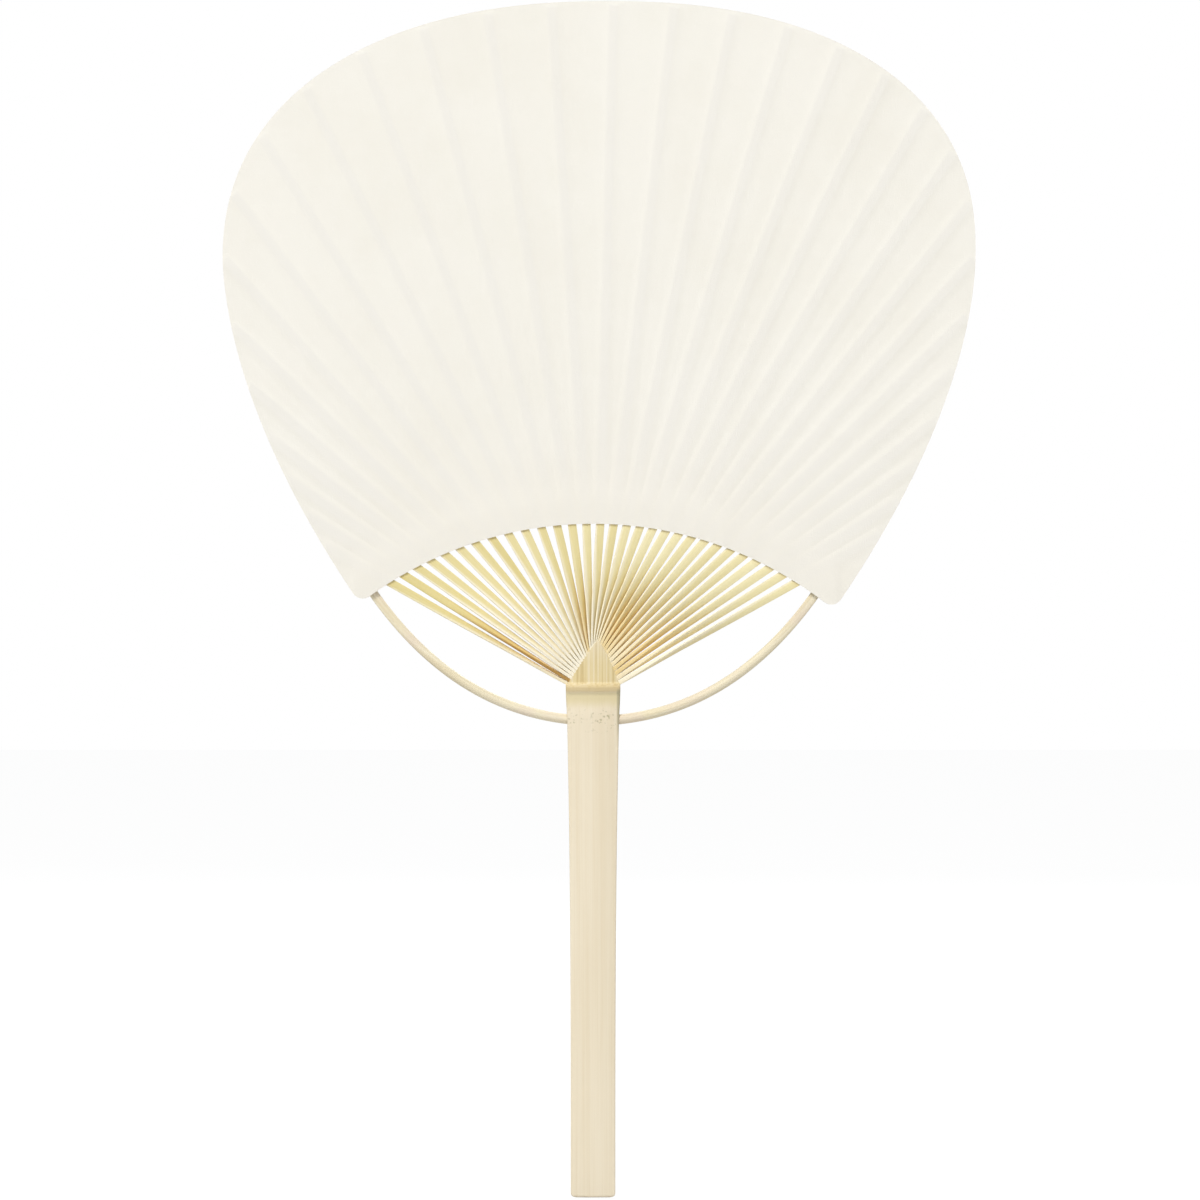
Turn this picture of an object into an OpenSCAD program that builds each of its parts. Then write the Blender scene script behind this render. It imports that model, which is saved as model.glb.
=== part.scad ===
// Round hand fan with a flat bamboo handle.
// One bamboo slat is the handle below its node. Above the node it is split
// into thin splints that spread, turn flat and carry two pasted sheets of
// paper. A thin bamboo bow runs through the head of the handle and holds the
// outer splints apart by a thread woven between them, under the paper.
// X runs across the fan, Y from the front face to the back, Z up the handle.
// The origin is in the middle of the hand's grip.

/* [Handle] */
// Length of the handle from its butt to the crest of the bamboo node
handle_len = 162.5; // [120:0.5:210]
// Width at the butt
butt_w = 14.2; // [11:0.1:16]
// Width of the neck, where the handle starts to flare into the node
neck_w = 16.4; // [14:0.1:17]
// Width across the node
node_w = 17.4; // [17.2:0.1:20]
// Thickness from the crown of the skin to the flat back
handle_t = 5.6; // [5.4:0.1:7]
// Outer radius of the bamboo culm that the slat was split from
culm_r = 44; // [40:1:70]
// Radius of the corners at the butt
butt_r = 1.4; // [0.6:0.1:3]
// Height of the middle of the grip above the butt
grip_h = 80; // [50:1:100]
// Length of the flare from the neck up to the node
flare_len = 14; // [10:0.5:20]
// How far the crest of the node stands out of the skin
crest_out = 0.35; // [0.1:0.05:0.8]
// Depth of the shaved hollow under the node
scoop_depth = 0.45; // [0.1:0.05:0.6]

/* [Split head] */
// Number of splints that the head is split into
splints = 30; // [24:1:32]
// Height of the tongue, where the splints still lie together, above the node
tongue_len = 14.2; // [10:0.1:20]
// Step from the crest of the node up to the foot of the tongue
tongue_step = 0.8; // [0.4:0.1:1.5]
// Offset of the tip of the tongue from the middle of the handle
tongue_off = 1.7; // [-2:0.1:2]
// Thickness of the tongue, and so the depth of a splint at its root
tongue_t = 2.8; // [2:0.1:3.6]

/* [Splints] */
// Width of a splint where it lies flat between the papers
rib_w = 2.7; // [1.6:0.1:3]
// Thickness of a splint
rib_t = 0.5; // [0.4:0.05:0.7]
// Distance from the leaf's corner to the outermost splint, along X
rib_inset = 9.6; // [8:0.1:12]
// Extra space in the widest gap, a little left of the middle
pitch_extra = 1.2; // [0:0.1:2]
// Height above the node of the point that the middle splints aim back to
aim_h = 5; // [3:0.1:7]
// How much lower the outermost splints aim
aim_drop = 8; // [5:0.1:10]
// Bare margin of paper past the end of a splint
rib_margin = 1.8; // [1:0.1:4]

/* [Leaf] */
// Full width of the leaf
leaf_w = 240; // [225:1:255]
// Height from the node to the top of the arc that is the leaf's lower edge
bare_h = 52.1; // [46:0.5:60]
// Radius of that arc
edge_r = 121.3; // [110:0.5:140]
// Height from the top of the lower edge up to the widest line
side_h = 85.4; // [75:0.5:95]
// Height of the crown of the leaf above the widest line
crown_h = 81.2; // [70:0.5:95]
// Roundness of the crown: 2 is an ellipse, more is squarer
crown_pow = 2.27; // [2:0.01:2.6]
// How far each side draws in over the height below
side_draw = 43.2; // [36:0.2:46]
// Height over which the side draws in by that much
draw_h = 110; // [100:1:125]
// Roundness of the sides below the widest line
side_pow = 1.73; // [1.5:0.01:2]
// Offset of the leaf's middle from the middle of the handle
leaf_off = 1.9; // [-3:0.1:3]
// Further lean of the crown to the same side
crown_lean = 3; // [-3:0.1:4]
// Thickness of one sheet of paper
paper_t = 0.2; // [0.12:0.01:0.3]
// Width of the slope where the paper comes down beside a splint
slope_w = 0.45; // [0.3:0.05:0.5]

/* [Bow] */
// Depth of the bow's hole below the crest of the node
hole_drop = 10.4; // [9:0.1:14]
// Diameter of the bow in the handle
bow_d = 3.2; // [2.4:0.1:3.3]
// How far the bow's axis lies behind the middle of the handle's thickness
bow_back = 0.25; // [0.15:0.05:0.3]
// Width of the whittled tips
tip_w = 2.9; // [2:0.1:3.2]
// Thickness of the whittled tips
tip_t = 0.85; // [0.6:0.05:1.2]
// Length of a tip between the papers
tip_len = 21; // [14:0.5:26]
// Distance from the leaf's corner to the bow, along X
bow_inset = 4; // [3.6:0.1:7]
// Offset of the bow's lowest point from the middle of the handle
bow_off = 0.5; // [-1:0.1:1]
// Share of the bow's rise that comes late, towards its tips
bow_late = 0.22; // [0:0.01:0.5]
// Length over which the bow is whittled flat
whittle = 30; // [20:1:45]

/* [Thread] */
// Diameter of the weaving thread
thread_d = 0.3; // [0.2:0.05:0.35]
// Distance of the thread above the leaf's lower edge
thread_inset = 6; // [5.5:0.1:6.5]
// Turns of the thread round each tip of the bow
lash_turns = 3; // [2:1:4]
// Step from one turn to the next
lash_pitch = 0.75; // [0.7:0.05:0.9]

/* [Clearances] */
// Play between the bow and its hole, and of every other free fit
play = 0.05; // [0.04:0.01:0.08]
// Gap between a sheet and what lies under it
paste_gap = 0.03; // [0.02:0.01:0.04]

/* [Hidden] */
rib_names = [for (i = [1 : splints]) str("rib_", i < 10 ? "0" : "", i)];

bamboo = "#e8dcc0";
splint_yellow = "#e0cf98";
bow_tan = "#e2d5bb";
thread_white = "#efece2";
washi = "#f6f3ec";

// Heights above the butt
node_z = handle_len;
neck_z = node_z - flare_len;
tongue_z = node_z + tongue_step;
edge_z = node_z + bare_h;
arc_mid = [0, edge_z - edge_r];
wide_z = edge_z + side_h;
hole_z = node_z - hole_drop;

// Front and back of the handle and of the tongue
front_y = -handle_t / 2;
back_y = handle_t / 2;
skin_cut = (handle_t - tongue_t) / 2;

far = 400;
search_steps = 26;
search_turn = 60;
last = splints - 1;

// Where the widest gap lies and how far it spreads, as shares of the leaf
wide_gap_at = 0.262;
wide_gap_spread = 0.149;
// How sharply the crown's lean and the tongue's slopes bend
lean_pow = 1.3;
tongue_pow = 1.3;
// Share of the leaf's offset that the splints' aim takes up
aim_share = 0.55;

function smooth(t) = let (c = max(0, min(1, t))) c * c * (3 - 2 * c);
function unit(v) = v / norm(v);

// A direction is an angle from +Z towards +X, and side is square to it
function along(a) = [sin(a), cos(a)];
function side(a) = [cos(a), -sin(a)];
function bearing(p, q) = atan2(q.x - p.x, q.y - p.y);

// Outline of the leaf: its middle line and half its width at a height
function leaf_mid(z) = leaf_off + crown_lean * pow(max(0, (z - wide_z) / crown_h), lean_pow);
function crown_half(z) =
    let (rise = pow((z - wide_z) / crown_h, crown_pow))
    leaf_w / 2 * pow(max(0, 1 - rise), 1 / crown_pow);
function side_half(z) = leaf_w / 2 - side_draw * pow((wide_z - z) / draw_h, side_pow);
function leaf_half(z) = z > wide_z ? crown_half(z) : side_half(z);
function in_leaf(p) = p.y < wide_z + crown_h && abs(p.x - leaf_mid(p.y)) < leaf_half(p.y);

// Distance from a point inside the outline to the rim, by halving
function rim_reach(p, a, lo = 0, hi = far, n = search_steps) =
    n == 0 ? lo :
    let (m = (lo + hi) / 2)
    in_leaf(p + m * along(a)) ? rim_reach(p, a, m, hi, n - 1) : rim_reach(p, a, lo, m, n - 1);

// Distance from a point to a circle round the middle of the lower edge
function arc_reach(p, a, r) =
    let (q = p - arc_mid, b = q * along(a))
    -b + sqrt(b * b - q * q + r * r);

// Angle, seen from the middle of the lower edge, at which that edge meets
// the side of the leaf, by halving. turn is -1 for the left and 1 for the right
function corner_turn(turn, lo = 0, hi = search_turn, n = search_steps) =
    n == 0 ? lo :
    let (m = (lo + hi) / 2, p = arc_mid + edge_r * along(turn * m))
    in_leaf(p) ? corner_turn(turn, m, hi, n - 1) : corner_turn(turn, lo, m, n - 1);
corner_l = arc_mid + edge_r * along(-corner_turn(-1));
corner_r = arc_mid + edge_r * along(corner_turn(1));
corner_x = min(-corner_l.x, corner_r.x);

// Where the splints cross the lower edge: an even step with one wide place
half_spread = corner_x - rib_inset;
function widening(i) = let (d = (i / last - wide_gap_at) / wide_gap_spread) exp(-d * d);
function widening_to(i) = i <= 0 ? 0 : widening(i - 1) + widening_to(i - 1);
rib_step = (2 * half_spread - pitch_extra * widening_to(last)) / last;
function edge_point(i) =
    let (x = rib_step * i + pitch_extra * widening_to(i) - half_spread)
    [x, arc_mid.y + sqrt(edge_r * edge_r - x * x)];
rib_feet = [for (i = [0 : last]) edge_point(i)];
function aim_under(p) = [leaf_off * aim_share, node_z + aim_h - aim_drop * pow(p.x / half_spread, 2)];
rib_aims = [for (p = rib_feet) aim_under(p)];
rib_dirs = [for (i = [0 : last]) bearing(rib_aims[i], rib_feet[i])];

// Outline of the tongue: one short flat for each splint
flat_w = node_w / splints;
function tongue_top(x) =
    let (d = x - tongue_off, half = node_w / 2 - sign(d) * tongue_off)
    tongue_z + tongue_len * (1 - pow(abs(d) / half, tongue_pow));
tongue_pts = [for (j = [0 : splints]) let (x = j * flat_w - node_w / 2) [x, tongue_top(x)]];

// The bow: its rise over the hole, and the points where it enters the leaf
bow_x = corner_x - bow_inset;
bow_in = [bow_x, arc_mid.y + sqrt(edge_r * edge_r - bow_x * bow_x)];
function bow_share(t) = (1 - bow_late) * t * t + bow_late * pow(t, 4);
bow_total = (bow_in.y - hole_z) / (1 - bow_share(node_w / 2 / bow_x) / 2);
bow_sag = bow_total * bow_share(node_w / 2 / bow_x);
bow_low = hole_z - bow_sag / 2;
function bow_point(x) = [bow_off + x, bow_low + bow_total * bow_share(x / bow_x)];
tip_turn = atan(bow_x / bow_total / (2 * (1 - bow_late) + 4 * bow_late));
tip_y = rib_t / 2 + thread_d + 2 * play + tip_t / 2;
hole_r = bow_d / 2 + bow_sag / 2 + 2 * play;
function tip_axis(turn, s) =
    [bow_off + turn * (bow_in.x + s * sin(tip_turn)), bow_in.y + s * cos(tip_turn)];

// Half the room that the papers leave for what lies between them
thread_r = thread_d / 2;
weave_y = rib_t / 2 + thread_r + play;
rib_room = rib_t / 2 + paste_gap;
weave_room = weave_y + thread_r + paste_gap;
tip_room = tip_y + tip_t / 2 + thread_d + 2 * play + paste_gap;
tip_slope = 3.2;
tip_ease = 1.5;
tip_lead = 2;
tip_past = tip_len + tip_ease;

// Joins rings of n points into one closed tube
function tube_faces(rings, n) = concat(
    [for (i = [0 : rings - 2], j = [0 : n - 1]) let (a = i * n, k = (j + 1) % n)
        each [[a + j, a + n + j, a + n + k], [a + j, a + n + k, a + k]]],
    [for (j = [1 : n - 2]) [0, j, j + 1]],
    [for (j = [1 : n - 2]) let (k = (rings - 1) * n) [k, k + j + 1, k + j]]);
module tube(rings) {
    n = len(rings[0]);
    polyhedron([for (r = rings) each r], tube_faces(len(rings), n), convexity = 8);
}
module above_grip() {
    translate([0, 0, -grip_h]) children();
}

// Handle: a slat of the culm, cut to its outline, with the bow's hole
function handle_half(z) =
    z < neck_z ? (butt_w + (neck_w - butt_w) * pow(z / neck_z, 3)) / 2
    : (neck_w + (node_w - neck_w) * smooth((z - neck_z) / flare_len)) / 2;
function skin_sag(x) = culm_r - sqrt(culm_r * culm_r - x * x);
side_steps = 14;
flare_steps = 6;
side_heights = concat(
    [for (k = [0 : side_steps - 1]) butt_r + (neck_z - butt_r) * k / side_steps],
    [for (k = [0 : flare_steps]) neck_z + flare_len * k / flare_steps]);
right_side = concat(
    [for (t = [0 : 15 : 75]) [butt_w / 2 - butt_r * (1 - sin(t)), butt_r * (1 - cos(t))]],
    [for (z = side_heights) [handle_half(z), z]]);
left_side = [for (k = [len(right_side) - 1 : -1 : 0]) [-right_side[k].x, right_side[k].y]];

butt_ease = 0.6;
scoop_from = 9;
scoop_floor = 3;
crest_from = 0.7;
crest_fall = 1.3;
ramp_from = 7;
above_all = tongue_z + tongue_len + 1;
block = 50;

module handle_outline() {
    top = [for (k = [splints : -1 : 0]) tongue_pts[k]];
    translate([0, block, 0]) rotate([90, 0, 0]) linear_extrude(2 * block)
        polygon(concat(right_side, top, left_side));
}
module culm() {
    skin = [[0, 0], [culm_r - butt_ease, 0], [culm_r, butt_ease],
        [culm_r, node_z - scoop_from],
        [culm_r - scoop_depth * 0.7, node_z - (scoop_from + scoop_floor) / 2],
        [culm_r - scoop_depth, node_z - scoop_floor],
        [culm_r + crest_out, node_z - crest_from], [culm_r + crest_out, node_z],
        [culm_r - skin_cut, node_z + crest_fall], [culm_r - skin_cut, above_all], [0, above_all]];
    translate([0, culm_r + front_y, 0]) rotate_extrude($fn = 120) polygon(skin);
}
module back_plane() {
    back = [[-block, 0], [back_y - butt_ease, 0], [back_y, butt_ease],
        [back_y, node_z - ramp_from], [tongue_t / 2, tongue_z], [tongue_t / 2, above_all],
        [-block, above_all]];
    translate([-block, 0, 0]) rotate([90, 0, 90]) linear_extrude(2 * block) polygon(back);
}
module handle() {
    color(bamboo) above_grip() difference() {
        intersection() {
            handle_outline();
            culm();
            back_plane();
        }
        translate([0, bow_back, hole_z]) rotate([0, 90, 0])
            cylinder(h = 2 * node_w, r = hole_r, center = true, $fn = 48);
    }
}

// Splints: each starts on its own flat of the tongue, standing on edge, turns
// flat evenly on its way to the leaf, and runs on between the papers to the rim
twist_steps = 8;
full_twist = -90;
root_fill = 0.4;
root_thick = 0.76;
function root_ring(i) =
    let (p = tongue_pts[i], q = tongue_pts[i + 1], c = (p + q) / 2,
        e = (q - p) * root_fill, back = tongue_t / 2 - play, front = skin_sag(c.x) - back)
    [for (s = [[1, back], [-1, back], [-1, front], [1, front]])
        [c.x + s[0] * e.x, s[1], c.y + s[0] * e.y]];
function strip_ring(c, a, thick, wide, twist, y_mid = 0) =
    let (u = [side(a).x, 0, side(a).y], y = [0, 1, 0],
        p = (u * cos(twist) + y * sin(twist)) * thick / 2,
        q = (y * cos(twist) - u * sin(twist)) * wide / 2,
        m = [c.x, y_mid, c.y])
    [m + p + q, m - p + q, m - p - q, m + p - q];
function root_room(i) =
    let (p = tongue_pts[i], q = tongue_pts[i + 1], a = bearing((p + q) / 2, rib_feet[i]))
    abs((q - p) * side(a));
function bare_ring(i, t) =
    let (root = (tongue_pts[i] + tongue_pts[i + 1]) / 2, foot = rib_feet[i],
        a = bearing(root, foot),
        thick = rib_t + (root_room(i) * root_thick - rib_t) * max(0, 1 - 3 * t),
        sag = skin_sag(root.x) * (1 - t),
        wide = tongue_t + (rib_w - tongue_t) * t - sag)
    strip_ring(root + (foot - root) * t, a, thick, wide, full_twist * t, sag / 2);
function leaf_ring(i, r) =
    strip_ring(rib_aims[i] + r * along(rib_dirs[i]), rib_dirs[i], rib_t, rib_w, full_twist);
function rib_end(i) = rim_reach(rib_aims[i], rib_dirs[i]) - rib_margin - rib_w / 2 * abs(rib_slant(i));
function rib_slant(i) =
    let (a = rib_dirs[i], p = rib_aims[i], h = rib_w / 2)
    (rim_reach(p - h * side(a), a) - rim_reach(p + h * side(a), a)) / (2 * h);
module rib(i) {
    start = arc_reach(rib_aims[i], rib_dirs[i], edge_r);
    color(splint_yellow) above_grip() tube(concat(
        [root_ring(i)],
        [for (k = [1 : twist_steps]) bare_ring(i, k / (twist_steps + 1))],
        [leaf_ring(i, start), leaf_ring(i, rib_end(i))]));
}

// Bow: a bent rod, round in the handle, with its tips whittled flat so that
// they lie behind the outer splints
bow_steps = 44;
bow_sides = 12;
function bow_ring(c, t, w, h, y) =
    let (u = [t.y, -t.x])
    [for (k = [0 : bow_sides - 1]) let (a = 360 * k / bow_sides)
        [c.x + u.x * w * cos(a), y + h * sin(a), c.y + u.y * w * cos(a)]];
function bow_flat(x) = smooth((abs(x) - bow_x + whittle) / whittle);
function bow_ring_at(x) =
    let (c = bow_point(x), t = unit(bow_point(x + 0.1) - bow_point(x - 0.1)), f = bow_flat(x),
        w = bow_d / 2 + (tip_w - bow_d) / 2 * abs(x) / bow_x)
    bow_ring(c, t, w, bow_d / 2 + (tip_t - bow_d) / 2 * f, bow_back + (tip_y - bow_back) * f);
tip_marks = [[tip_len / 2, 1], [tip_len - tip_ease, 0.9], [tip_len, 0.5]];
function tip_ring(turn, m) =
    let (t = [sin(tip_turn), turn * cos(tip_turn)])
    bow_ring(tip_axis(turn, m[0]), t, tip_w / 2 * m[1], tip_t / 2 * m[1], tip_y);
module bow() {
    color(bow_tan) above_grip() tube(concat(
        [for (k = [2 : -1 : 0]) tip_ring(-1, tip_marks[k])],
        [for (k = [0 : bow_steps]) bow_ring_at(bow_x * (2 * k / bow_steps - 1))],
        [for (k = [0 : 2]) tip_ring(1, tip_marks[k])]));
}

// Thread: a few turns round one tip of the bow, behind the outer splint, over
// and under the others along an arc, and round the other tip, as one piece
thread_sides = 6;
turn_steps = 10;
weave_r = edge_r + thread_inset;
function lash_at(turn) = arc_reach(tip_axis(turn, 0), turn * tip_turn, weave_r);
lash_w = tip_w / 2 + thread_r + play;
lash_h = tip_t / 2 + thread_r + play;
function lash_point(turn, k) =
    let (a = 360 * k / turn_steps - 90,
        c = tip_axis(turn, lash_at(turn) + lash_pitch * (k / turn_steps - lash_turns / 2)),
        d = lash_w * cos(a))
    [c.x - turn * cos(tip_turn) * d, tip_y + lash_h * sin(a), c.y + sin(tip_turn) * d];
function weave_pair(i) =
    let (p = rib_aims[i] + arc_reach(rib_aims[i], rib_dirs[i], weave_r) * along(rib_dirs[i]),
        a = bearing(arc_mid, p),
        half = (rib_w / 2 + thread_r + play) / cos(rib_dirs[i] - a) / weave_r * 180 / PI,
        y = (i == last || i % 2 == 0 ? 1 : -1) * weave_y,
        ends = i == 0 ? [1] : i == last ? [-1] : [-1, 1])
    [for (s = ends) let (q = arc_mid + weave_r * along(a + s * half)) [q.x, y, q.y]];
lash_last = lash_turns * turn_steps;
thread_path = concat(
    [for (k = [0 : lash_last]) lash_point(-1, k)],
    [for (i = [0 : last]) each weave_pair(i)],
    [for (k = [lash_last : -1 : 0]) lash_point(1, k)]);
function thread_ring(k) =
    let (n = len(thread_path), p = thread_path[k],
        t = unit(thread_path[min(k + 1, n - 1)] - thread_path[max(k - 1, 0)]),
        o = [p.x - arc_mid.x, 0, p.z - arc_mid.y], u = unit(o - (o * t) * t), v = cross(t, u))
    [for (j = [0 : thread_sides - 1]) let (a = 360 * j / thread_sides)
        p + thread_r * (cos(a) * u + sin(a) * v)];
module weaving_thread() {
    color(thread_white) above_grip() tube([for (k = [0 : len(thread_path) - 1]) thread_ring(k)]);
}

// Papers: a grid whose columns run along the splints and whose rows follow
// the lower edge, the thread and the rim. Each column is a base point, a
// direction and the room under it
ridge = rib_w / 2 + play;
foot = ridge + slope_w;
corner_cols = 4;
corner_stop = 0.84;
function rib_cols(i) = [for (c = [[-foot, 0], [-ridge, rib_room], [ridge, rib_room], [foot, 0]])
    [rib_aims[i] + c[0] * side(rib_dirs[i]), rib_dirs[i], c[1]]];
function mid_col(i) = [(rib_aims[i] + rib_aims[i + 1]) / 2, (rib_dirs[i] + rib_dirs[i + 1]) / 2, 0];
function corner_set(turn) =
    let (i = turn < 0 ? 0 : last, a = rib_dirs[i], m = rib_aims[i], p = m + turn * foot * side(a),
        from = bearing(m, p + arc_reach(p, a, edge_r) * along(a)),
        to = bearing(m, turn < 0 ? corner_l : corner_r))
    [for (k = [1 : corner_cols]) [m, from + (to - from) * corner_stop * k / corner_cols, 0]];
left_set = corner_set(-1);
cols = concat(
    [for (k = [corner_cols - 1 : -1 : 0]) left_set[k]],
    [for (i = [0 : last]) each i < last ? concat(rib_cols(i), [mid_col(i)]) : rib_cols(i)],
    corner_set(1));

band = 0.7;
band_out = 2.2;
rim_fall = 1.2;
marks = [0, thread_inset - band_out, thread_inset - band, thread_inset + band, thread_inset + band_out,
    tip_len * 0.65, tip_past, tip_past + 1.5 * tip_slope];
rows = len(marks) + 2;
function grid_point(c, j) =
    let (lo = arc_reach(c[0], c[1], edge_r), hi = rim_reach(c[0], c[1]),
        even = lo + (hi - lo) * j / (rows - 1),
        reach = j < len(marks) ? min(arc_reach(c[0], c[1], edge_r + marks[j]), even)
            : j < rows - 1 ? max(hi - rim_fall, even) : hi)
    c[0] + reach * along(c[1]);
grid = [for (c = cols) [for (j = [0 : rows - 1]) grid_point(c, j)]];

function seg_gap(p, a, b) =
    let (d = b - a, t = max(0, min(1, (p - a) * d / (d * d))))
    norm(p - a - t * d);
function tip_gap(p) = min([for (t = [-1, 1]) seg_gap(p, tip_axis(t, -tip_lead), tip_axis(t, tip_len))]);
function tip_rise(p) = tip_room * (1 - smooth((tip_gap(p) - tip_w) / tip_slope));
function over_thread(p) =
    abs(p.x - bow_off) < bow_in.x + thread_inset + tip_w
    && abs(norm(p - arc_mid) - weave_r) < band + play;
function under_paper(c, j, p, back) =
    j == rows - 1 ? paste_gap
    : max(paste_gap, c[2], over_thread(p) ? weave_room : 0, back ? tip_rise(p) : 0);

module paper(face) {
    m = len(cols);
    lift = [for (i = [0 : m - 1]) [for (j = [0 : rows - 1])
        under_paper(cols[i], j, grid[i][j], face > 0)]];
    inner = [for (i = [0 : m - 1], j = [0 : rows - 1]) [grid[i][j].x, face * lift[i][j], grid[i][j].y]];
    outer = [for (p = inner) [p.x, p.y + face * paper_t, p.z]];
    n = m * rows;
    cells = [for (i = [0 : m - 2], j = [0 : rows - 2]) let (a = i * rows + j, b = a + rows)
        [a, b, b + 1, a + 1]];
    loop = concat([for (i = [0 : m - 2]) i * rows], [for (j = [0 : rows - 2]) (m - 1) * rows + j],
        [for (i = [m - 1 : -1 : 1]) i * rows + rows - 1], [for (j = [rows - 1 : -1 : 1]) j]);
    e = len(loop);
    sheet = concat(
        [for (q = cells) each [[q[0], q[1], q[2]], [q[0], q[2], q[3]]]],
        [for (q = cells) each [[n + q[0], n + q[2], n + q[1]], [n + q[0], n + q[3], n + q[2]]]],
        [for (k = [0 : e - 1]) let (a = loop[k], b = loop[(k + 1) % e])
            each [[a, n + a, n + b], [a, n + b, b]]]);
    faces = face > 0 ? [for (f = sheet) [f[2], f[1], f[0]]] : sheet;
    color(washi) above_grip() polyhedron(concat(inner, outer), faces, convexity = 10);
}
module front_paper() {
    paper(-1);
}
module back_paper() {
    paper(1);
}

handle();
for (i = [0 : last]) rib(i);
bow();
weaving_thread();
front_paper();
back_paper();
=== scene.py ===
"""Looks of a round hand fan: flat bamboo handle, fine splints, two sheets of washi and a bent bow.

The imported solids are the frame. Each piece here is a surface worked out with numpy from the same
sizes as the solids, in millimetres, with heights counted up from the butt of the handle, and is
moved down to the grip and turned into metres when its mesh is made.
"""

import logging
import math
from dataclasses import dataclass, field
from enum import Enum
from typing import Any, Callable, Union

import bpy
import numpy as np
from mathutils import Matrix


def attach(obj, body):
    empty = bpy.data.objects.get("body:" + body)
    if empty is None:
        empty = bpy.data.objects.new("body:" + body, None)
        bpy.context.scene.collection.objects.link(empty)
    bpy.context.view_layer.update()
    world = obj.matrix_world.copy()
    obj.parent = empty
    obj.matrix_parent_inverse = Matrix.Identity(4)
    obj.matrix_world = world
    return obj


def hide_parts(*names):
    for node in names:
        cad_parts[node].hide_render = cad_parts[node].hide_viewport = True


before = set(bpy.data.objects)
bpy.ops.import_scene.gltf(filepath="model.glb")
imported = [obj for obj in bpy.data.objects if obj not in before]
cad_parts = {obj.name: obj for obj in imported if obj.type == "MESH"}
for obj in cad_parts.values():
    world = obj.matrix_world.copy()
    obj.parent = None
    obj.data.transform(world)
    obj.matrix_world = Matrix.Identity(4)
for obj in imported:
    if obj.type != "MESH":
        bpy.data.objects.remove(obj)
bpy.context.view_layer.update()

MM = 0.001
GRIP_H = 80.0
QUARTER = math.pi / 2
Array = np.ndarray
Value = Union[float, "Flow"]
Triple = tuple[float, float, float]
Span = tuple[float, float]
Band = tuple[Span, Span]
Material = bpy.types.Material
Piece = bpy.types.Object
log = logging.getLogger("round_fan")


class Face(Enum):
    """The two faces of the fan, as the sign of Y."""

    FRONT = -1
    BACK = 1


class Turn(Enum):
    """The two halves of the fan, as the sign of X."""

    LEFT = -1
    RIGHT = 1


def ramp(t: Array, start: float, end: float) -> Array:
    """Ease from 0 at a start to 1 at an end: three t squared less two t cubed between them.

    Args:
        t: Any values.
        start: Value up to which the result is 0.
        end: Value from which it is 1.

    Returns:
        The eased values.
    """
    c = np.clip((t - start) / (end - start), 0.0, 1.0)
    return c * c * (3.0 - 2.0 * c)


def rounded(z: Array, radius: float) -> Array:
    """How far an edge that is rounded as a quarter circle stands back at a height over its end."""
    return radius * (1 - np.sqrt(1 - np.clip(1 - z / radius, 0, 1) ** 2))


def along(a: Array) -> Array:
    """Unit vector (x, z) of a direction a, in radians from +Z towards +X."""
    return np.stack([np.sin(a), np.cos(a)], axis=-1)


def side(a: Array) -> Array:
    """Unit vector (x, z) a quarter turn to the right of direction a."""
    return np.stack([np.cos(a), -np.sin(a)], axis=-1)


def unit(v: Array) -> Array:
    """Vectors brought to length 1."""
    return v / np.linalg.norm(v, axis=-1, keepdims=True)


def travelled(path: Array) -> Array:
    """Distance along a path at each of its points."""
    return np.concatenate([[0], np.cumsum(np.linalg.norm(np.diff(path, axis=0), axis=1))])


def circle(count: int) -> Array:
    """Even angles once round a circle."""
    return 2 * math.pi * np.arange(count) / count


def linear(colour: Triple) -> tuple[float, ...]:
    """Turn a display colour of 0 to 255 into the linear colour that a shader takes.

    Args:
        colour: Red, green and blue as displayed.

    Returns:
        The linear red, green, blue and an alpha of 1.
    """
    c = np.array(colour, float) / 255.0
    v = np.where(c <= 0.04045, c / 12.92, ((c + 0.055) / 1.055) ** 2.4)
    return (*v.tolist(), 1.0)


def add(name: str, data: bpy.types.ID) -> Piece:
    """Put a mesh, a lamp or a camera into the scene as an object.

    Args:
        name: The object's name.
        data: What it shows.

    Returns:
        The object.
    """
    made = bpy.data.objects.new(name, data)
    bpy.context.scene.collection.objects.link(made)
    return made


# Meshes


def make_mesh(name: str, points: Array, quads: Array, caps: list[list[int]], uv: Array | None,
              values: dict[str, Array], crease: float) -> Piece:
    """Put points in millimetres above the butt into a mesh in metres round the grip.

    Args:
        name: Name of the piece.
        points: N by 3 points.
        quads: M by 4 corner numbers, anticlockwise seen from outside.
        caps: Further faces with any number of corners.
        uv: Two numbers a point for the UV map, or nothing.
        values: Named numbers, one a point, stored as attributes.
        crease: Angle in degrees above which an edge is sharp.

    Returns:
        The new object, at the origin.
    """
    place = (points - np.array([0.0, 0.0, GRIP_H])) * MM
    mesh = bpy.data.meshes.new(name)
    mesh.from_pydata(place.tolist(), [], quads.tolist() + caps)
    mesh.polygons.foreach_set("use_smooth", np.ones(len(mesh.polygons), bool))
    if uv is not None:
        layer = mesh.uv_layers.new(name="UVMap")
        corner = np.zeros(len(mesh.loops), np.int32)
        mesh.loops.foreach_get("vertex_index", corner)
        layer.data.foreach_set("uv", uv[corner].astype(np.float32).ravel())
    for key, numbers in values.items():
        item = mesh.attributes.new(key, "FLOAT", "POINT")
        item.data.foreach_set("value", np.asarray(numbers, np.float32).ravel())
    mesh.set_sharp_from_angle(angle=math.radians(crease))
    mesh.update()
    return add(name, mesh)


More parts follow.
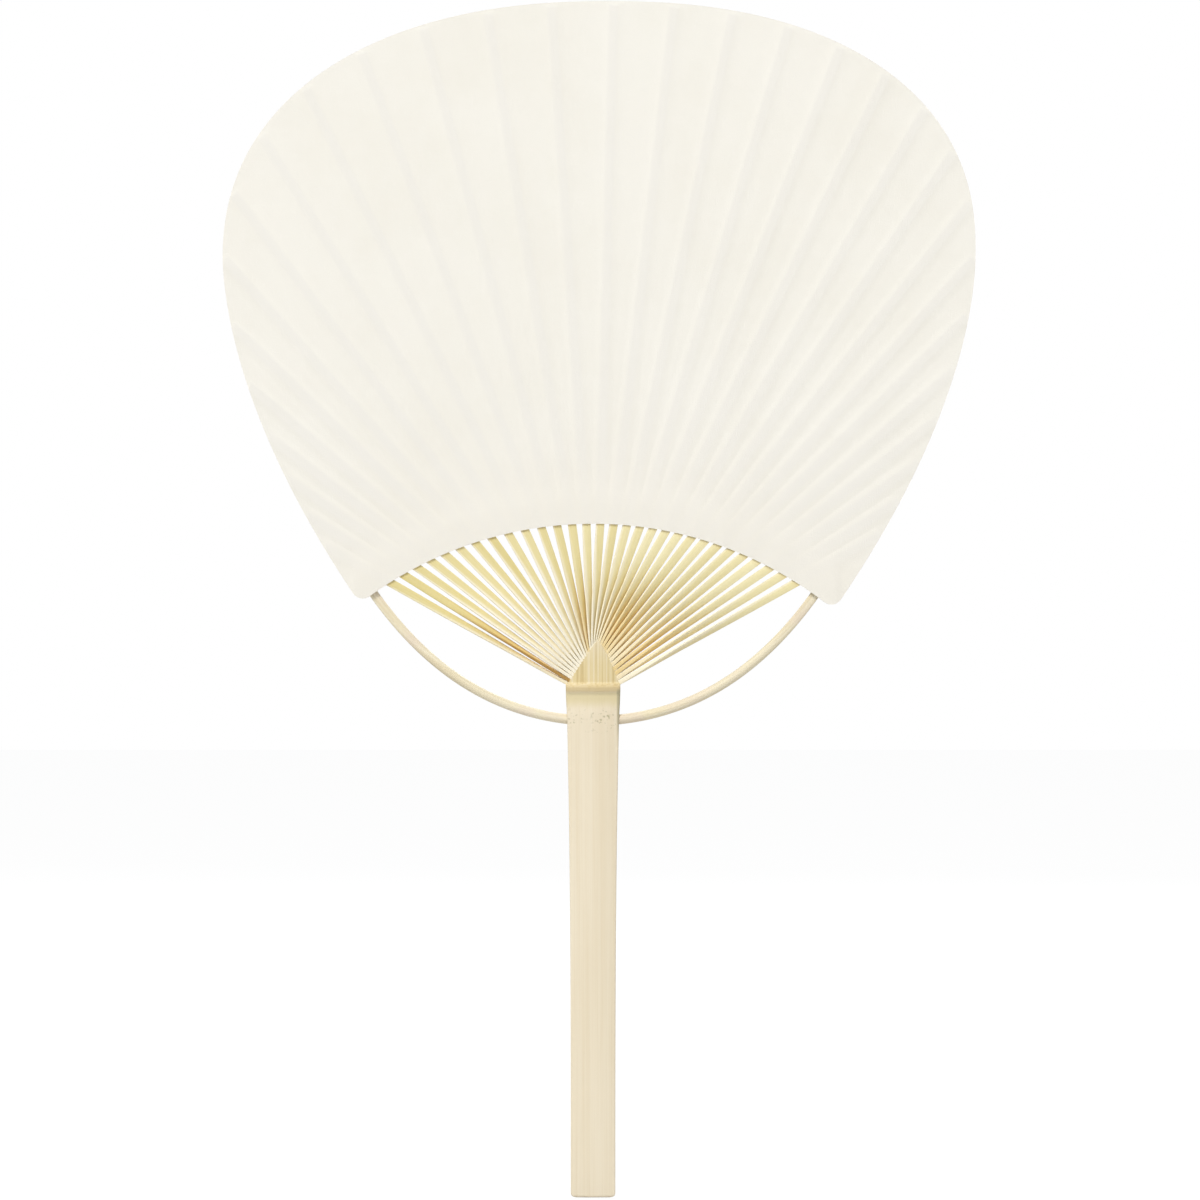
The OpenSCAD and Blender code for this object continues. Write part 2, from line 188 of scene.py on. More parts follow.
def tube(name: str, rings: Array, run: Array, values: dict[str, Array] | None = None,
         crease: float = 38.0) -> Piece:
    """Join rings of points into one closed tube with flat ends.

    The UV map holds the way round the ring and the way along the tube, both in metres.

    Args:
        name: Name of the piece.
        rings: R by K by 3 points, right-handed about the direction of travel.
        run: Distance of each ring along the tube, in millimetres.
        values: Named numbers, R by K each, stored as attributes.
        crease: Angle in degrees above which an edge is sharp.

    Returns:
        The new object.
    """
    count, around = rings.shape[:2]
    i, k = np.meshgrid(np.arange(count - 1) * around, np.arange(around), indexing="ij")
    n = (k + 1) % around
    quads = np.stack([i + k, i + n, i + around + n, i + around + k], -1)
    girth = np.linalg.norm(np.roll(rings, -1, axis=1) - rings, axis=2)
    way = np.cumsum(girth, axis=1) - girth
    uv = np.stack([way, np.broadcast_to(run[:, None], way.shape)], -1).reshape(-1, 2) * MM
    ends = [list(range(around))[::-1], list(range((count - 1) * around, count * around))]
    flat = {key: np.broadcast_to(v, (count, around)) for key, v in (values or {}).items()}
    return make_mesh(name, rings.reshape(-1, 3), quads.reshape(-1, 4), ends, uv, flat, crease)


def dress(piece: Piece, material: Material, nodes: list[str]) -> None:
    """Give a piece its material and slot, let it stand for its solids and ride on the part.

    Args:
        piece: The finished piece.
        material: Its material.
        nodes: The solids that it stands for.
    """
    piece.data.materials.clear()
    piece.data.materials.append(material)
    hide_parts(*nodes)
    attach(piece, "root")
    log.info("%s: %d faces for %s", piece.name, len(piece.data.polygons), ", ".join(nodes))


# Materials


def operator(kind: str, swapped: bool = False) -> Callable[["Flow", Value], "Flow"]:
    """Make a method that adds one Math node on a flow and another value.

    Args:
        kind: Blender's name of the operation.
        swapped: Whether the other value comes first.

    Returns:
        The method.
    """
    def method(self: "Flow", other: Value) -> "Flow":
        """Work out the result as a new flow."""
        a, b = (other, self) if swapped else (self, other)
        return self.graph.node("ShaderNodeMath", {"operation": kind}, {0: a, 1: b})
    return method


class Flow:
    """A shader socket that takes part in Python expressions, each of which adds a Math node."""

    def __init__(self, graph: "Graph", socket: bpy.types.NodeSocket) -> None:
        """Wrap a socket of a graph."""
        self.graph = graph
        self.socket = socket

    __add__ = __radd__ = operator("ADD")
    __mul__ = __rmul__ = operator("MULTIPLY")
    __sub__ = operator("SUBTRACT")
    __rsub__ = operator("SUBTRACT", True)


class Graph:
    """The nodes of one material or of the surroundings."""

    def __init__(self, name: str, world: bool = False) -> None:
        """Start a material, or the surroundings, with nothing but the output.

        Args:
            name: Its name.
            world: Whether these are the surroundings.
        """
        self.owner = (bpy.data.worlds if world else bpy.data.materials).new(name)
        self.owner.use_nodes = True
        self.tree = self.owner.node_tree
        self.tree.nodes.clear()
        kind = "ShaderNodeOutputWorld" if world else "ShaderNodeOutputMaterial"
        self.output = self.tree.nodes.new(kind)

    def node(self, kind: str, settings: dict[str, Any] | None = None,
             inputs: dict[Any, Any] | None = None, out: Any = 0) -> Flow:
        """Add a node.

        Args:
            kind: Blender's name of the node type.
            settings: Its properties, set first.
            inputs: Values or flows for its sockets, by name or number.
            out: The output that is wanted, by name or number.

        Returns:
            That output as a flow.
        """
        made = self.tree.nodes.new(kind)
        for key, value in (settings or {}).items():
            setattr(made, key, value)
        for key, value in (inputs or {}).items():
            if isinstance(value, Flow):
                self.tree.links.new(value.socket, made.inputs[key])
            else:
                made.inputs[key].default_value = value
        return Flow(self, made.outputs[out])

    def noise(self, vector: Flow, scale: float | Triple, detail: float = 2.0,
              rough: float = 0.5) -> Flow:
        """Noise from 0 to 1.

        Args:
            vector: Where it is read.
            scale: How fine it is, alike in all directions or along X, Y and Z.
            detail: How many finer layers it has.
            rough: How strong these are.

        Returns:
            The noise.
        """
        if isinstance(scale, tuple):
            vector = self.node("ShaderNodeVectorMath", {"operation": "MULTIPLY"},
                               {0: vector, 1: scale})
            scale = 1.0
        return self.node("ShaderNodeTexNoise", {},
                         {"Vector": vector, "Scale": scale, "Detail": detail, "Roughness": rough})

    def place(self) -> Flow:
        """The point on the piece, in metres."""
        return self.node("ShaderNodeTexCoord", {}, {}, "Object")

    def surface(self) -> Flow:
        """The piece's own UV map, in metres."""
        return self.node("ShaderNodeUVMap", {"uv_map": "UVMap"})

    def value(self, name: str) -> Flow:
        """A number stored on the piece."""
        return self.node("ShaderNodeAttribute", {"attribute_name": name}, {}, "Fac")

    def ray(self, name: str) -> Flow:
        """Whether the ray is of the named kind."""
        return self.node("ShaderNodeLightPath", {}, {}, name)

    def axis(self, vector: Flow, name: str) -> Flow:
        """One of X, Y and Z of a vector."""
        return self.node("ShaderNodeSeparateXYZ", {}, {0: vector}, name)

    def ease(self, x: Value, low: float, high: Value) -> Flow:
        """Smooth step of a value from 0 at low to 1 at high."""
        return self.node("ShaderNodeMapRange", {"interpolation_type": "SMOOTHSTEP"},
                         {"Value": x, "From Min": low, "From Max": high})

    def fall(self, x: Value, low: float, high: Value) -> Flow:
        """Smooth step of a value from 1 at low to 0 at high."""
        return 1.0 - self.ease(x, low, high)

    def band(self, x: Value, edges: Band) -> Flow:
        """1 between two edges, each of which is eased over a span."""
        return self.ease(x, *edges[0]) * self.fall(x, *edges[1])

    def blend(self, share: Value, a: Any, b: Any) -> Flow:
        """Colour a where share is 0 and colour b where it is 1, each a flow or a display colour."""
        first, second = (linear(c) if isinstance(c, tuple) else c for c in (a, b))
        return self.node("ShaderNodeMix", {"data_type": "RGBA"}, {0: share, 6: first, 7: second}, 2)

    def layers(self, base: Flow, *coats: tuple[Value, Triple]) -> Flow:
        """Lay display colours over a base one after another, each with its share.

        Args:
            base: The colour underneath.
            coats: Share and colour of each layer.

        Returns:
            The colour on top.
        """
        for share, colour in coats:
            base = self.blend(share, base, colour)
        return base

    def bump(self, height: Flow, strength: float, distance: float) -> Flow:
        """Normal of a surface raised by a height."""
        return self.node("ShaderNodeBump", {},
                         {"Height": height, "Strength": strength, "Distance": distance})

    def finish(self, colour: Flow, rough: Value, shine: float, normal: Flow) -> Material:
        """Close the material with one Principled shader.

        Args:
            colour: Base colour.
            rough: Roughness.
            shine: Specular level.
            normal: Normal.

        Returns:
            The material.
        """
        return self.close(self.node("ShaderNodeBsdfPrincipled", {}, {
            "Base Color": colour, "Roughness": rough, "Specular IOR Level": shine,
            "Normal": normal}, "BSDF"))

    def close(self, shader: Flow) -> bpy.types.ID:
        """Link a shader to the output, and hand back what the nodes belong to."""
        self.tree.links.new(shader.socket, self.output.inputs["Surface"])
        return self.owner


@dataclass(frozen=True)
class Washi:
    """Soft white paper with long pale fibres, a faint cloudiness, a fine tooth, a little darker
    near the lower edge, and painted shade along the splints beneath.
    """

    name: str = "washi"
    white: Triple = (247, 244, 236)
    shade: Triple = (240, 236, 225)
    low: Triple = (243, 238, 227)
    # colour of the painted shade along the splints
    through: Triple = (240, 237, 231)
    low_edge: Span = (0.0, 0.045)
    fibre_warp: Triple = (0.006, 0.006, 0.006)
    fibres_up: Triple = (2600.0, 2600.0, 300.0)
    fibres_across: Triple = (320.0, 2600.0, 2400.0)

    def build(self) -> Material:
        """Build the paper's material.

        Returns:
            The material.
        """
        g = Graph(self.name)
        p = g.place()
        cloud = g.noise(p, 26.0, 4.0, 0.6)
        drift = g.node("ShaderNodeTexNoise", {}, {"Vector": p, "Scale": 60.0, "Detail": 1.0}, 1)
        warp = g.node("ShaderNodeVectorMath", {"operation": "MULTIPLY_ADD"},
                      {0: drift, 1: self.fibre_warp, 2: p})
        fibre = (g.ease(g.noise(warp, self.fibres_up), 0.56, 0.72)
                 + g.ease(g.noise(warp, self.fibres_across), 0.58, 0.74))
        tooth = g.noise(p, 3200.0, 3.0, 0.6)
        base = g.blend(g.ease(cloud, 0.35, 0.75) * 0.45 + (1.0 - fibre) * 0.12,
                       self.white, self.shade)
        base = g.layers(base, (g.fall(g.value("reach"), *self.low_edge) * 0.55, self.low),
                        # painted shade: a faint grey band along each splint, by the stored shade
                        # share; the through colour is that painted shade
                        (g.value("shade") * 0.5, self.through))
        height = fibre * 0.5 + tooth * 0.5 + cloud * 1.2
        return g.finish(base, 0.86 + tooth * 0.08, 0.25, g.bump(height, 0.18, 0.0002))


@dataclass(frozen=True)
class BambooSkin:
    """Shaved bamboo of the handle: straight fine grain, a darker line at the node, tiny specks,
    painted shade in the hollow under the node and on the right edge of the head.

    The spans are heights over the node in millimetres, and the flank span is a place across, right
    of which painted shade darkens the edge of the head.
    """

    name: str = "handle_bamboo"
    pale: Triple = (241, 229, 205)
    grain: Triple = (230, 214, 183)
    head: Triple = (228, 209, 158)
    line: Triple = (204, 180, 126)
    speck: Triple = (176, 168, 128)
    # colour of the painted shade in the hollow under the node
    scoop: Triple = (222, 207, 160)
    # colour of the painted shade on the right edge of the head
    edge_shade: Triple = (172, 164, 132)
    node_z: float = 82.5
    tongue: Span = (-1.9, 2.1)
    tip: Span = (6.1, 15.1)
    ring: Band = ((-2.2, -1.1), (-0.3, 1.2))
    hollow: Band = ((-7.5, -3.6), (-2.2, -1.2))
    belt: Band = ((-15.5, -11.5), (-9.0, -5.5))
    body: Band = ((-22.0, -8.0), (-1.5, 0.0))
    shade_flank: Span = (7.3, 7.9)

    def build(self) -> Material:
        """Build the handle's material.

        Returns:
            The material.
        """
        g = Graph(self.name)
        p = g.place()
        x = g.axis(p, "X") * (1.0 / MM)
        z = g.axis(p, "Z") * (1.0 / MM) - self.node_z
        wide = g.noise(p, (420.0, 420.0, 6.0), 3.0)
        fine = g.noise(p, (2400.0, 2400.0, 22.0), 3.0, 0.6)
        slow = g.noise(p, (60.0, 60.0, 14.0))
        strip = g.noise(p, (1100.0, 1100.0, 16.0))
        near = z + (g.noise(p, (260.0, 260.0, 90.0)) - 0.5) * 1.2
        dots = g.ease(g.noise(p, (900.0, 900.0, 1000.0)), 0.56, 0.74)
        clumps = g.ease(g.noise(p, (190.0, 190.0, 240.0), 1.0), 0.36, 0.56)
        share = (g.ease(wide, 0.35, 0.7) * 0.45 + g.ease(fine, 0.45, 0.75) * 0.3
                 + g.ease(slow, 0.4, 0.7) * 0.2)
        top = g.ease(z, *self.tongue)
        base = g.layers(
            g.blend(share, self.pale, self.grain),
            (top * 0.95, self.head),
            (top * g.ease(strip, 0.5, 0.66) * 0.5, self.pale),
            (top * g.fall(strip, 0.36, 0.48) * 0.65, self.line),
            (g.ease(z, *self.tip) * 0.35, self.pale),
            (g.band(near, self.ring) * 0.7, self.line),
            # painted shade: the hollow under the node darkened towards the scoop colour
            (g.band(near, self.hollow) * 0.75, self.scoop),
            (dots * clumps * g.band(z, self.belt) * 0.8, self.speck),
            # painted shade on the right edge of the head, the side turned from the light
            (g.ease(x, *self.shade_flank) * g.band(z, self.body) * 0.75, self.edge_shade))
        height = fine * 0.6 + wide * 0.6
        return g.finish(base, 0.46 + fine * 0.14, 0.4, g.bump(height, 0.2, 0.00025))


@dataclass(frozen=True)
class SplitBamboo:
    """Split bamboo of the splints: yellow faces, a painted cream highlight along their left edges,
    painted brown shade and shadow lines where they crowd at the root.
    """

    name: str = "splint_bamboo"
    pale: Triple = (252, 242, 198)
    yellow: Triple = (226, 210, 145)
    ivory: Triple = (238, 231, 208)
    # colour of the painted shade near the roots
    gap_shade: Triple = (196, 186, 160)
    brown: Triple = (230, 200, 126)
    # dark brown of the painted shadow lines between splints
    shadow_brown: Triple = (168, 124, 58)
    # colour of the painted highlight on the splints' left edges
    cut: Triple = (255, 247, 226)

    def build(self) -> Material:
        """Build the splints' material.

        It reads four numbers off a splint: tone, how yellow it is; warm, how much painted brown
        shade it has at its root;
        reach, from 0 at the tongue to 1 at the leaf; and cross, from edge to edge.

        Returns:
            The material.
        """
        g = Graph(self.name)
        tone, reach, root_shade, cross = (g.value(name) for name in ("tone", "reach", "root_shade", "cross"))
        streak = g.noise(g.surface(), (5200.0, 46.0, 1.0))
        strand = g.noise(g.place(), 108.0)
        close = g.fall(reach, 0.05, 0.75)
        crowd = g.fall(reach, 0.15, 0.9) * (0.04 + root_shade * 0.66)
        # painted shade mask: the right side of each paler splint, near the root
        grey = g.fall(reach, 0.1, 0.55) * (1.0 - root_shade) * g.ease(cross, 0.2, 0.5)
        rest = g.fall(reach, 0.45, 1.0)
        # painted highlight mask: a cream band along the left edge of each splint, widest near the
        # root
        pale = g.fall(cross, -0.4, -0.22 + rest * 0.28)
        # painted shadow: a dark line along the left edge of the brownest splint near the root,
        # towards its left neighbour
        edge_shadow = g.ease(root_shade, 1.25, 1.6) * g.fall(cross, -0.45, -0.1) * g.fall(reach, 0.3, 0.85)
        base = g.layers(
            g.blend(tone * 0.85 + g.ease(streak, 0.35, 0.7) * 0.25 + strand * 0.12,
                    self.pale, self.yellow),
            (close * (1.0 - root_shade) * 0.7, self.ivory),
            # painted brown shade near the root, where the splints stand close and shade each other
            (close * root_shade * (0.75 + streak * 0.4), self.brown),
            # painted shade: a dark brown line down the right side of each splint near the root,
            # towards the next one
            (g.ease(cross, 0.15, 0.5) * crowd * 0.8, self.shadow_brown),
            # painted shade: grey down the right side of the paler splints near the root
            (grey * 0.35, self.gap_shade),
            # painted highlight in the cut colour on the left edge, the side that faces the light
            (pale * (0.9 - root_shade * 0.6) * (0.75 + rest * 0.25), self.cut),
            # painted shadow line in the dark brown
            (edge_shadow * 0.85, self.shadow_brown),
            # browner just below the leaf: partly painted shadow of the paper's edge, partly paste
            (g.ease(reach, 0.965, 1.0) * 0.25, self.brown))
        return g.finish(base, 0.5 + streak * 0.12, 0.4, g.bump(streak, 0.15, 0.00015))


@dataclass(frozen=True)
class BowBamboo:
    """Whittled bamboo rod: long fine streaks and soft pale and pinkish stretches."""

    name: str = "bow_bamboo"
    pale: Triple = (241, 231, 203)
    tan: Triple = (229, 215, 181)
    rose: Triple = (232, 214, 196)

    def build(self) -> Material:
        """Build the bow's material.

        Returns:
            The material.
        """
        g = Graph(self.name)
        uv = g.surface()
        streak = g.noise(uv, (1300.0, 30.0, 1.0))
        patch = g.noise(uv, (60.0, 70.0, 1.0))
        base = g.layers(g.blend(g.ease(streak, 0.3, 0.75), self.pale, self.tan),
                        (g.ease(patch, 0.45, 0.65) * 0.5, self.rose))
        return g.finish(base, 0.48 + streak * 0.12, 0.4, g.bump(streak, 0.08, 0.0002))


@dataclass(frozen=True)
class CottonThread:
    """Twisted cotton thread: slanting plies on the UV map."""

    name: str = "cotton_thread"
    light: Triple = (243, 239, 228)
    dark: Triple = (214, 206, 188)
    ply_around: float = 13000.0
    ply_along: float = 9000.0

    def build(self) -> Material:
        """Build the thread's material.

        Returns:
            The material.
        """
        g = Graph(self.name)
        uv = g.surface()
        slant = g.axis(uv, "X") * self.ply_around + g.axis(uv, "Y") * self.ply_along
        ply = g.node("ShaderNodeMath", {"operation": "SINE"}, {0: slant})
        share = ply * 0.35 + 0.4 + g.noise(g.place(), 5000.0) * 0.2
        return g.finish(g.blend(share, self.light, self.dark), 0.9, 0.2,
                        g.bump(share, 0.4, 0.00005))


@dataclass(frozen=True)
class PaleFloor:
    """Plain pale floor that the camera sees as near white, with the fan's shadow on it."""

    name: str = "floor"
    matt: float = 0.65
    glow: float = 1.15
    glow_share: float = 0.8

    def build(self) -> Material:
        """Build the floor's material: matt, with an even glow for the camera alone.

        Returns:
            The material.
        """
        g = Graph(self.name)
        matt = g.node("ShaderNodeBsdfDiffuse", {}, {"Color": (*[self.matt] * 3, 1.0)})
        white = g.node("ShaderNodeEmission", {},
                       {"Color": (1.0, 1.0, 1.0, 1.0), "Strength": self.glow})
        share = g.ray("Is Camera Ray") * self.glow_share
        return g.close(g.node("ShaderNodeMixShader", {}, {0: share, 1: matt, 2: white}))


# The object


@dataclass
class LeafOutline:
    """Outline of the leaf and the lines that everything in it follows, in millimetres."""

    node_z: float = 162.5
    bare_h: float = 52.1
    edge_r: float = 121.3
    side_h: float = 85.4
    crown_h: float = 81.2
    crown_pow: float = 2.27
    leaf_w: float = 240.0
    side_draw: float = 43.2
    draw_h: float = 110.0
    side_pow: float = 1.73
    leaf_off: float = 1.9
    crown_lean: float = 3.0
    lean_pow: float = 1.3
    corner_r: float = 4.0
    side_slope: float = 0.86
    scan: Span = (20.0, 260.0)
    scan_step: float = 0.25
    halvings: int = 18
    corner_scan: Span = (0.3, 0.9)

    @property
    def arc_z(self) -> float:
        """Height of the middle of the circle that the lower edge lies on."""
        return self.node_z + self.bare_h - self.edge_r

    @property
    def wide_z(self) -> float:
        """Height of the widest line."""
        return self.node_z + self.bare_h + self.side_h

    def half(self, z: Array) -> Array:
        """Half width: a superellipse above the widest line and a power curve below it.

        Args:
            z: Heights above the butt.

        Returns:
            Half the leaf's width at each height, 0 above the crown.
        """
        up = np.clip((z - self.wide_z) / self.crown_h, 0.0, 1.0)
        crown = self.leaf_w / 2 * (1.0 - up ** self.crown_pow) ** (1.0 / self.crown_pow)
        down = np.clip((self.wide_z - z) / self.draw_h, 0.0, None)
        body = self.leaf_w / 2 - self.side_draw * down ** self.side_pow
        return np.where(z > self.wide_z, crown, body)

    def margin(self, x: Array, z: Array) -> Array:
        """How far inside the sides points lie, along X.

        The middle line has an offset, and a lean that grows as a power of the height over the
        widest line.

        Args:
            x: Places across.
            z: Heights above the butt.

        Returns:
            The distances to the nearer side, below 0 outside.
        """
        up = np.clip((z - self.wide_z) / self.crown_h, 0.0, 1.0)
        return self.half(z) - np.abs(x - self.leaf_off - self.crown_lean * up ** self.lean_pow)

    def above(self, x: Array, z: Array) -> Array:
        """Distance of points over the arc of the lower edge."""
        return np.hypot(x, z - self.arc_z) - self.edge_r

    def bearing(self, x: Array, z: Array) -> Array:
        """Direction of points from the middle of that arc."""
        return np.arctan2(x, z - self.arc_z)

    def inside(self, line: Array, d: Array, t: Array, rounding: float) -> Array:
        """Whether points on lines lie in the leaf, with its two lower corners rounded.

        A point is in when it is inside the side curve and above the lower arc, and where it is
        within the rounding of both, inside the quarter circle that joins them.

        Args:
            line: Starting points.
            d: Unit vectors of the lines.
            t: Distances along the lines.
            rounding: Radius of the corners.

        Returns:
            True for each point inside.
        """
        x, z = (line[..., n] + d[..., n] * t for n in (0, 1))
        a, b = self.margin(x, z) * self.side_slope, self.above(x, z)
        near = (a < rounding) & (b < rounding)
        round_in = (rounding - a) ** 2 + (rounding - b) ** 2 < rounding ** 2
        return (a > 0) & (b > 0) & (z < self.wide_z + self.crown_h) & (~near | round_in)

    def span(self, base: Array, a: Array, rounding: float) -> tuple[Array, Array]:
        """Where lines enter and leave the leaf: a scan at even steps, then halving.

        Args:
            base: K by 2 starting points below the leaf.
            a: K directions.
            rounding: Radius of the corners.

        Returns:
            The distances of entry and exit along each line, both 0 where a line misses.
        """
        t = np.arange(*self.scan, self.scan_step)
        d = along(a)
        hit = self.inside(base[:, None], d[:, None], t, rounding)
        found = hit.any(axis=1)
        ends = []
        first, last = hit.argmax(axis=1), len(t) - 1 - hit[:, ::-1].argmax(axis=1)
        for column, sign in ((first, -1), (last, 1)):
            good, bad = t[column], t[column] + sign * self.scan_step
            for _ in range(self.halvings):
                mid = (good + bad) / 2
                ok = self.inside(base, d, mid, rounding)
                good, bad = np.where(ok, mid, good), np.where(ok, bad, mid)
            ends.append(np.where(found, good, 0.0))
        return ends[0], ends[1]

    def arc_reach(self, base: Array, a: Array, radius: float) -> Array:
        """Distance along lines to a circle round the middle of the lower edge.

        Args:
            base: K by 2 starting points.
            a: K directions.
            radius: Radius of the circle.

        Returns:
            The distance to the far crossing of each line with the circle.
        """
        q = base - np.array([0.0, self.arc_z])
        b = (q * along(a)).sum(axis=-1)
        return -b + np.sqrt(b * b - (q * q).sum(axis=-1) + radius * radius)

    def corner_x(self) -> float:
        """Distance along X from the handle's middle to the nearer sharp lower corner.

        Returns:
            The distance.
        """
        turn = np.linspace(*self.corner_scan, 60001)
        x, z = self.edge_r * np.sin(turn), self.arc_z + self.edge_r * np.cos(turn)
        return float(min(x[self.margin(way.value * x, z) > 0][-1] for way in Turn))


@dataclass
class SplintLayout:
    """Where the splints start, cross the lower edge and run, in millimetres."""

    leaf: LeafOutline
    count: int = 30
    rib_w: float = 2.7
    rib_t: float = 0.5
    rib_inset: float = 9.6
    pitch_extra: float = 1.2
    wide_gap_at: float = 0.262
    wide_gap_spread: float = 0.149
    aim_h: float = 5.0
    aim_drop: float = 8.0
    aim_share: float = 0.55
    rib_margin: float = 1.8
    rib_rounding: float = 0.01
    node_w: float = 17.4
    tongue_step: float = 0.8
    tongue_len: float = 14.2
    tongue_off: float = 1.7
    tongue_pow: float = 1.3
    tongue_t: float = 2.8
    culm_r: float = 44.0
    feet: Array = field(init=False)
    aims: Array = field(init=False)
    dirs: Array = field(init=False)
    tops: Array = field(init=False)
    roots: Array = field(init=False)
    room: Array = field(init=False)

    def __post_init__(self) -> None:
        """Work out the feet on the lower edge, the aims under them and the flats on the tongue."""
        leaf, last = self.leaf, self.count - 1
        half = leaf.corner_x() - self.rib_inset
        i = np.arange(self.count)
        widening = np.exp(-((i / last - self.wide_gap_at) / self.wide_gap_spread) ** 2)
        before = np.concatenate([[0.0], np.cumsum(widening)[:-1]])
        step = (2 * half - self.pitch_extra * before[-1]) / last
        x = step * i + self.pitch_extra * before - half
        self.feet = np.stack([x, leaf.arc_z + np.sqrt(leaf.edge_r ** 2 - x * x)], -1)
        drop = self.aim_drop * (x / half) ** 2
        self.aims = np.stack([np.full(self.count, leaf.leaf_off * self.aim_share),
                              leaf.node_z + self.aim_h - drop], -1)
        self.dirs = np.arctan2(*(self.feet - self.aims).T)
        self.tops = leaf.span(self.aims, self.dirs, self.rib_rounding)[1] - self.rib_margin
        marks = np.linspace(-self.node_w / 2, self.node_w / 2, self.count + 1)
        rim = np.stack([marks, self.tongue_top(marks)], -1)
        self.roots = (rim[1:] + rim[:-1]) / 2
        turn = np.arctan2(*(self.feet - self.roots).T)
        self.room = np.abs(((rim[1:] - rim[:-1]) * side(turn)).sum(axis=1))

    @property
    def tongue_z(self) -> float:
        """Height of the tongue's foot."""
        return self.leaf.node_z + self.tongue_step

    def tongue_top(self, x: Array) -> Array:
        """Height of the tongue's outline, which falls from the tip as a power of the distance.

        Args:
            x: Places across.

        Returns:
            The heights above the butt.
        """
        d = x - self.tongue_off
        half = self.node_w / 2 - np.sign(d) * self.tongue_off
        return self.tongue_z + self.tongue_len * (1 - np.abs(d / half) ** self.tongue_pow)

    def sag(self, x: Array) -> Array:
        """How far the round skin of the culm falls back at a distance across."""
        return self.culm_r - np.sqrt(self.culm_r ** 2 - x * x)


@dataclass
class Bow:
    """Bent rod through the handle's head, round in the middle and whittled flat at its tips."""

    splints: SplintLayout
    hole_drop: float = 10.4
    bow_d: float = 3.2
    bow_back: float = 0.25
    tip_w: float = 2.9
    tip_t: float = 0.85
    tip_at: tuple[float, ...] = (4.0, 8.0, 12.0, 16.0, 18.5, 19.6, 20.4, 20.8, 21.0)
    tip_size: tuple[float, ...] = (1.0, 1.0, 1.0, 1.0, 0.98, 0.93, 0.82, 0.68, 0.5)
    bow_inset: float = 4.0
    bow_off: float = 0.5
    bow_late: float = 0.22
    whittle: float = 30.0
    thread_d: float = 0.3
    play: float = 0.05
    steps: int = 181
    sides: int = 24
    reach_x: float = field(init=False)
    entry_z: float = field(init=False)
    low: float = field(init=False)
    total: float = field(init=False)

    def __post_init__(self) -> None:
        """Find where the bow enters the leaf and how far it rises from its lowest point."""
        leaf = self.splints.leaf
        self.reach_x = leaf.corner_x() - self.bow_inset
        self.entry_z = leaf.arc_z + math.sqrt(leaf.edge_r ** 2 - self.reach_x ** 2)
        edge = float(self.share(np.array(self.splints.node_w / 2 / self.reach_x)))
        self.total = (self.entry_z - self.hole_z) / (1 - edge / 2)
        self.low = self.hole_z - self.total * edge / 2

    @property
    def hole_z(self) -> float:
        """Height of the hole in the handle."""
        return self.splints.leaf.node_z - self.hole_drop

    @property
    def tip_y(self) -> float:
        """Depth of the tips behind the splints, with room for the lashing."""
        return self.splints.rib_t / 2 + self.thread_d + 2 * self.play + self.tip_t / 2

    @property
    def tip_turn(self) -> float:
        """Direction of the tips, from +Z outwards."""
        return math.atan(self.reach_x / self.total / (2 * (1 - self.bow_late) + 4 * self.bow_late))

    def share(self, t: Array) -> Array:
        """Share of the rise at a share of the reach: a square with a fourth power mixed in."""
        return (1 - self.bow_late) * t * t + self.bow_late * t ** 4

    def axis(self, turn: Turn, s: Array) -> Array:
        """Points (x, z) of a tip's axis at distances past the lower edge of the leaf."""
        return np.stack([self.bow_off + turn.value * (self.reach_x + s * math.sin(self.tip_turn)),
                         self.entry_z + s * math.cos(self.tip_turn)], -1)

    def build(self) -> Piece:
        """Build the bow as rings of points on an ellipse, carried along its curve.

        Returns:
            The bow.
        """
        x = self.reach_x * np.linspace(-1, 1, self.steps)
        body = np.stack([self.bow_off + x,
                         self.low + self.total * self.share(np.abs(x) / self.reach_x)], -1)
        at, size = np.array(self.tip_at), np.array(self.tip_size)
        c = np.concatenate([self.axis(Turn.LEFT, at)[::-1], body, self.axis(Turn.RIGHT, at)])
        end = np.concatenate([size[::-1], np.ones(self.steps), size])[:, None] / 2
        out = np.pad(np.abs(x), len(at), constant_values=self.reach_x)[:, None]
        flat = ramp(out, self.reach_x - self.whittle, self.reach_x)
        a = circle(self.sides)
        w = (self.bow_d + (self.tip_w - self.bow_d) * out / self.reach_x) * end * np.cos(a)
        h = (self.bow_d + (self.tip_t - self.bow_d) * flat) * end * np.sin(a)
        y = self.bow_back + (self.tip_y - self.bow_back) * flat
        t = unit(np.gradient(c, axis=0))
        rings = np.stack([c[:, :1] + t[:, 1:] * w, y + h, c[:, 1:] - t[:, :1] * w], -1)
        return tube("bent_bow", rings, travelled(c))


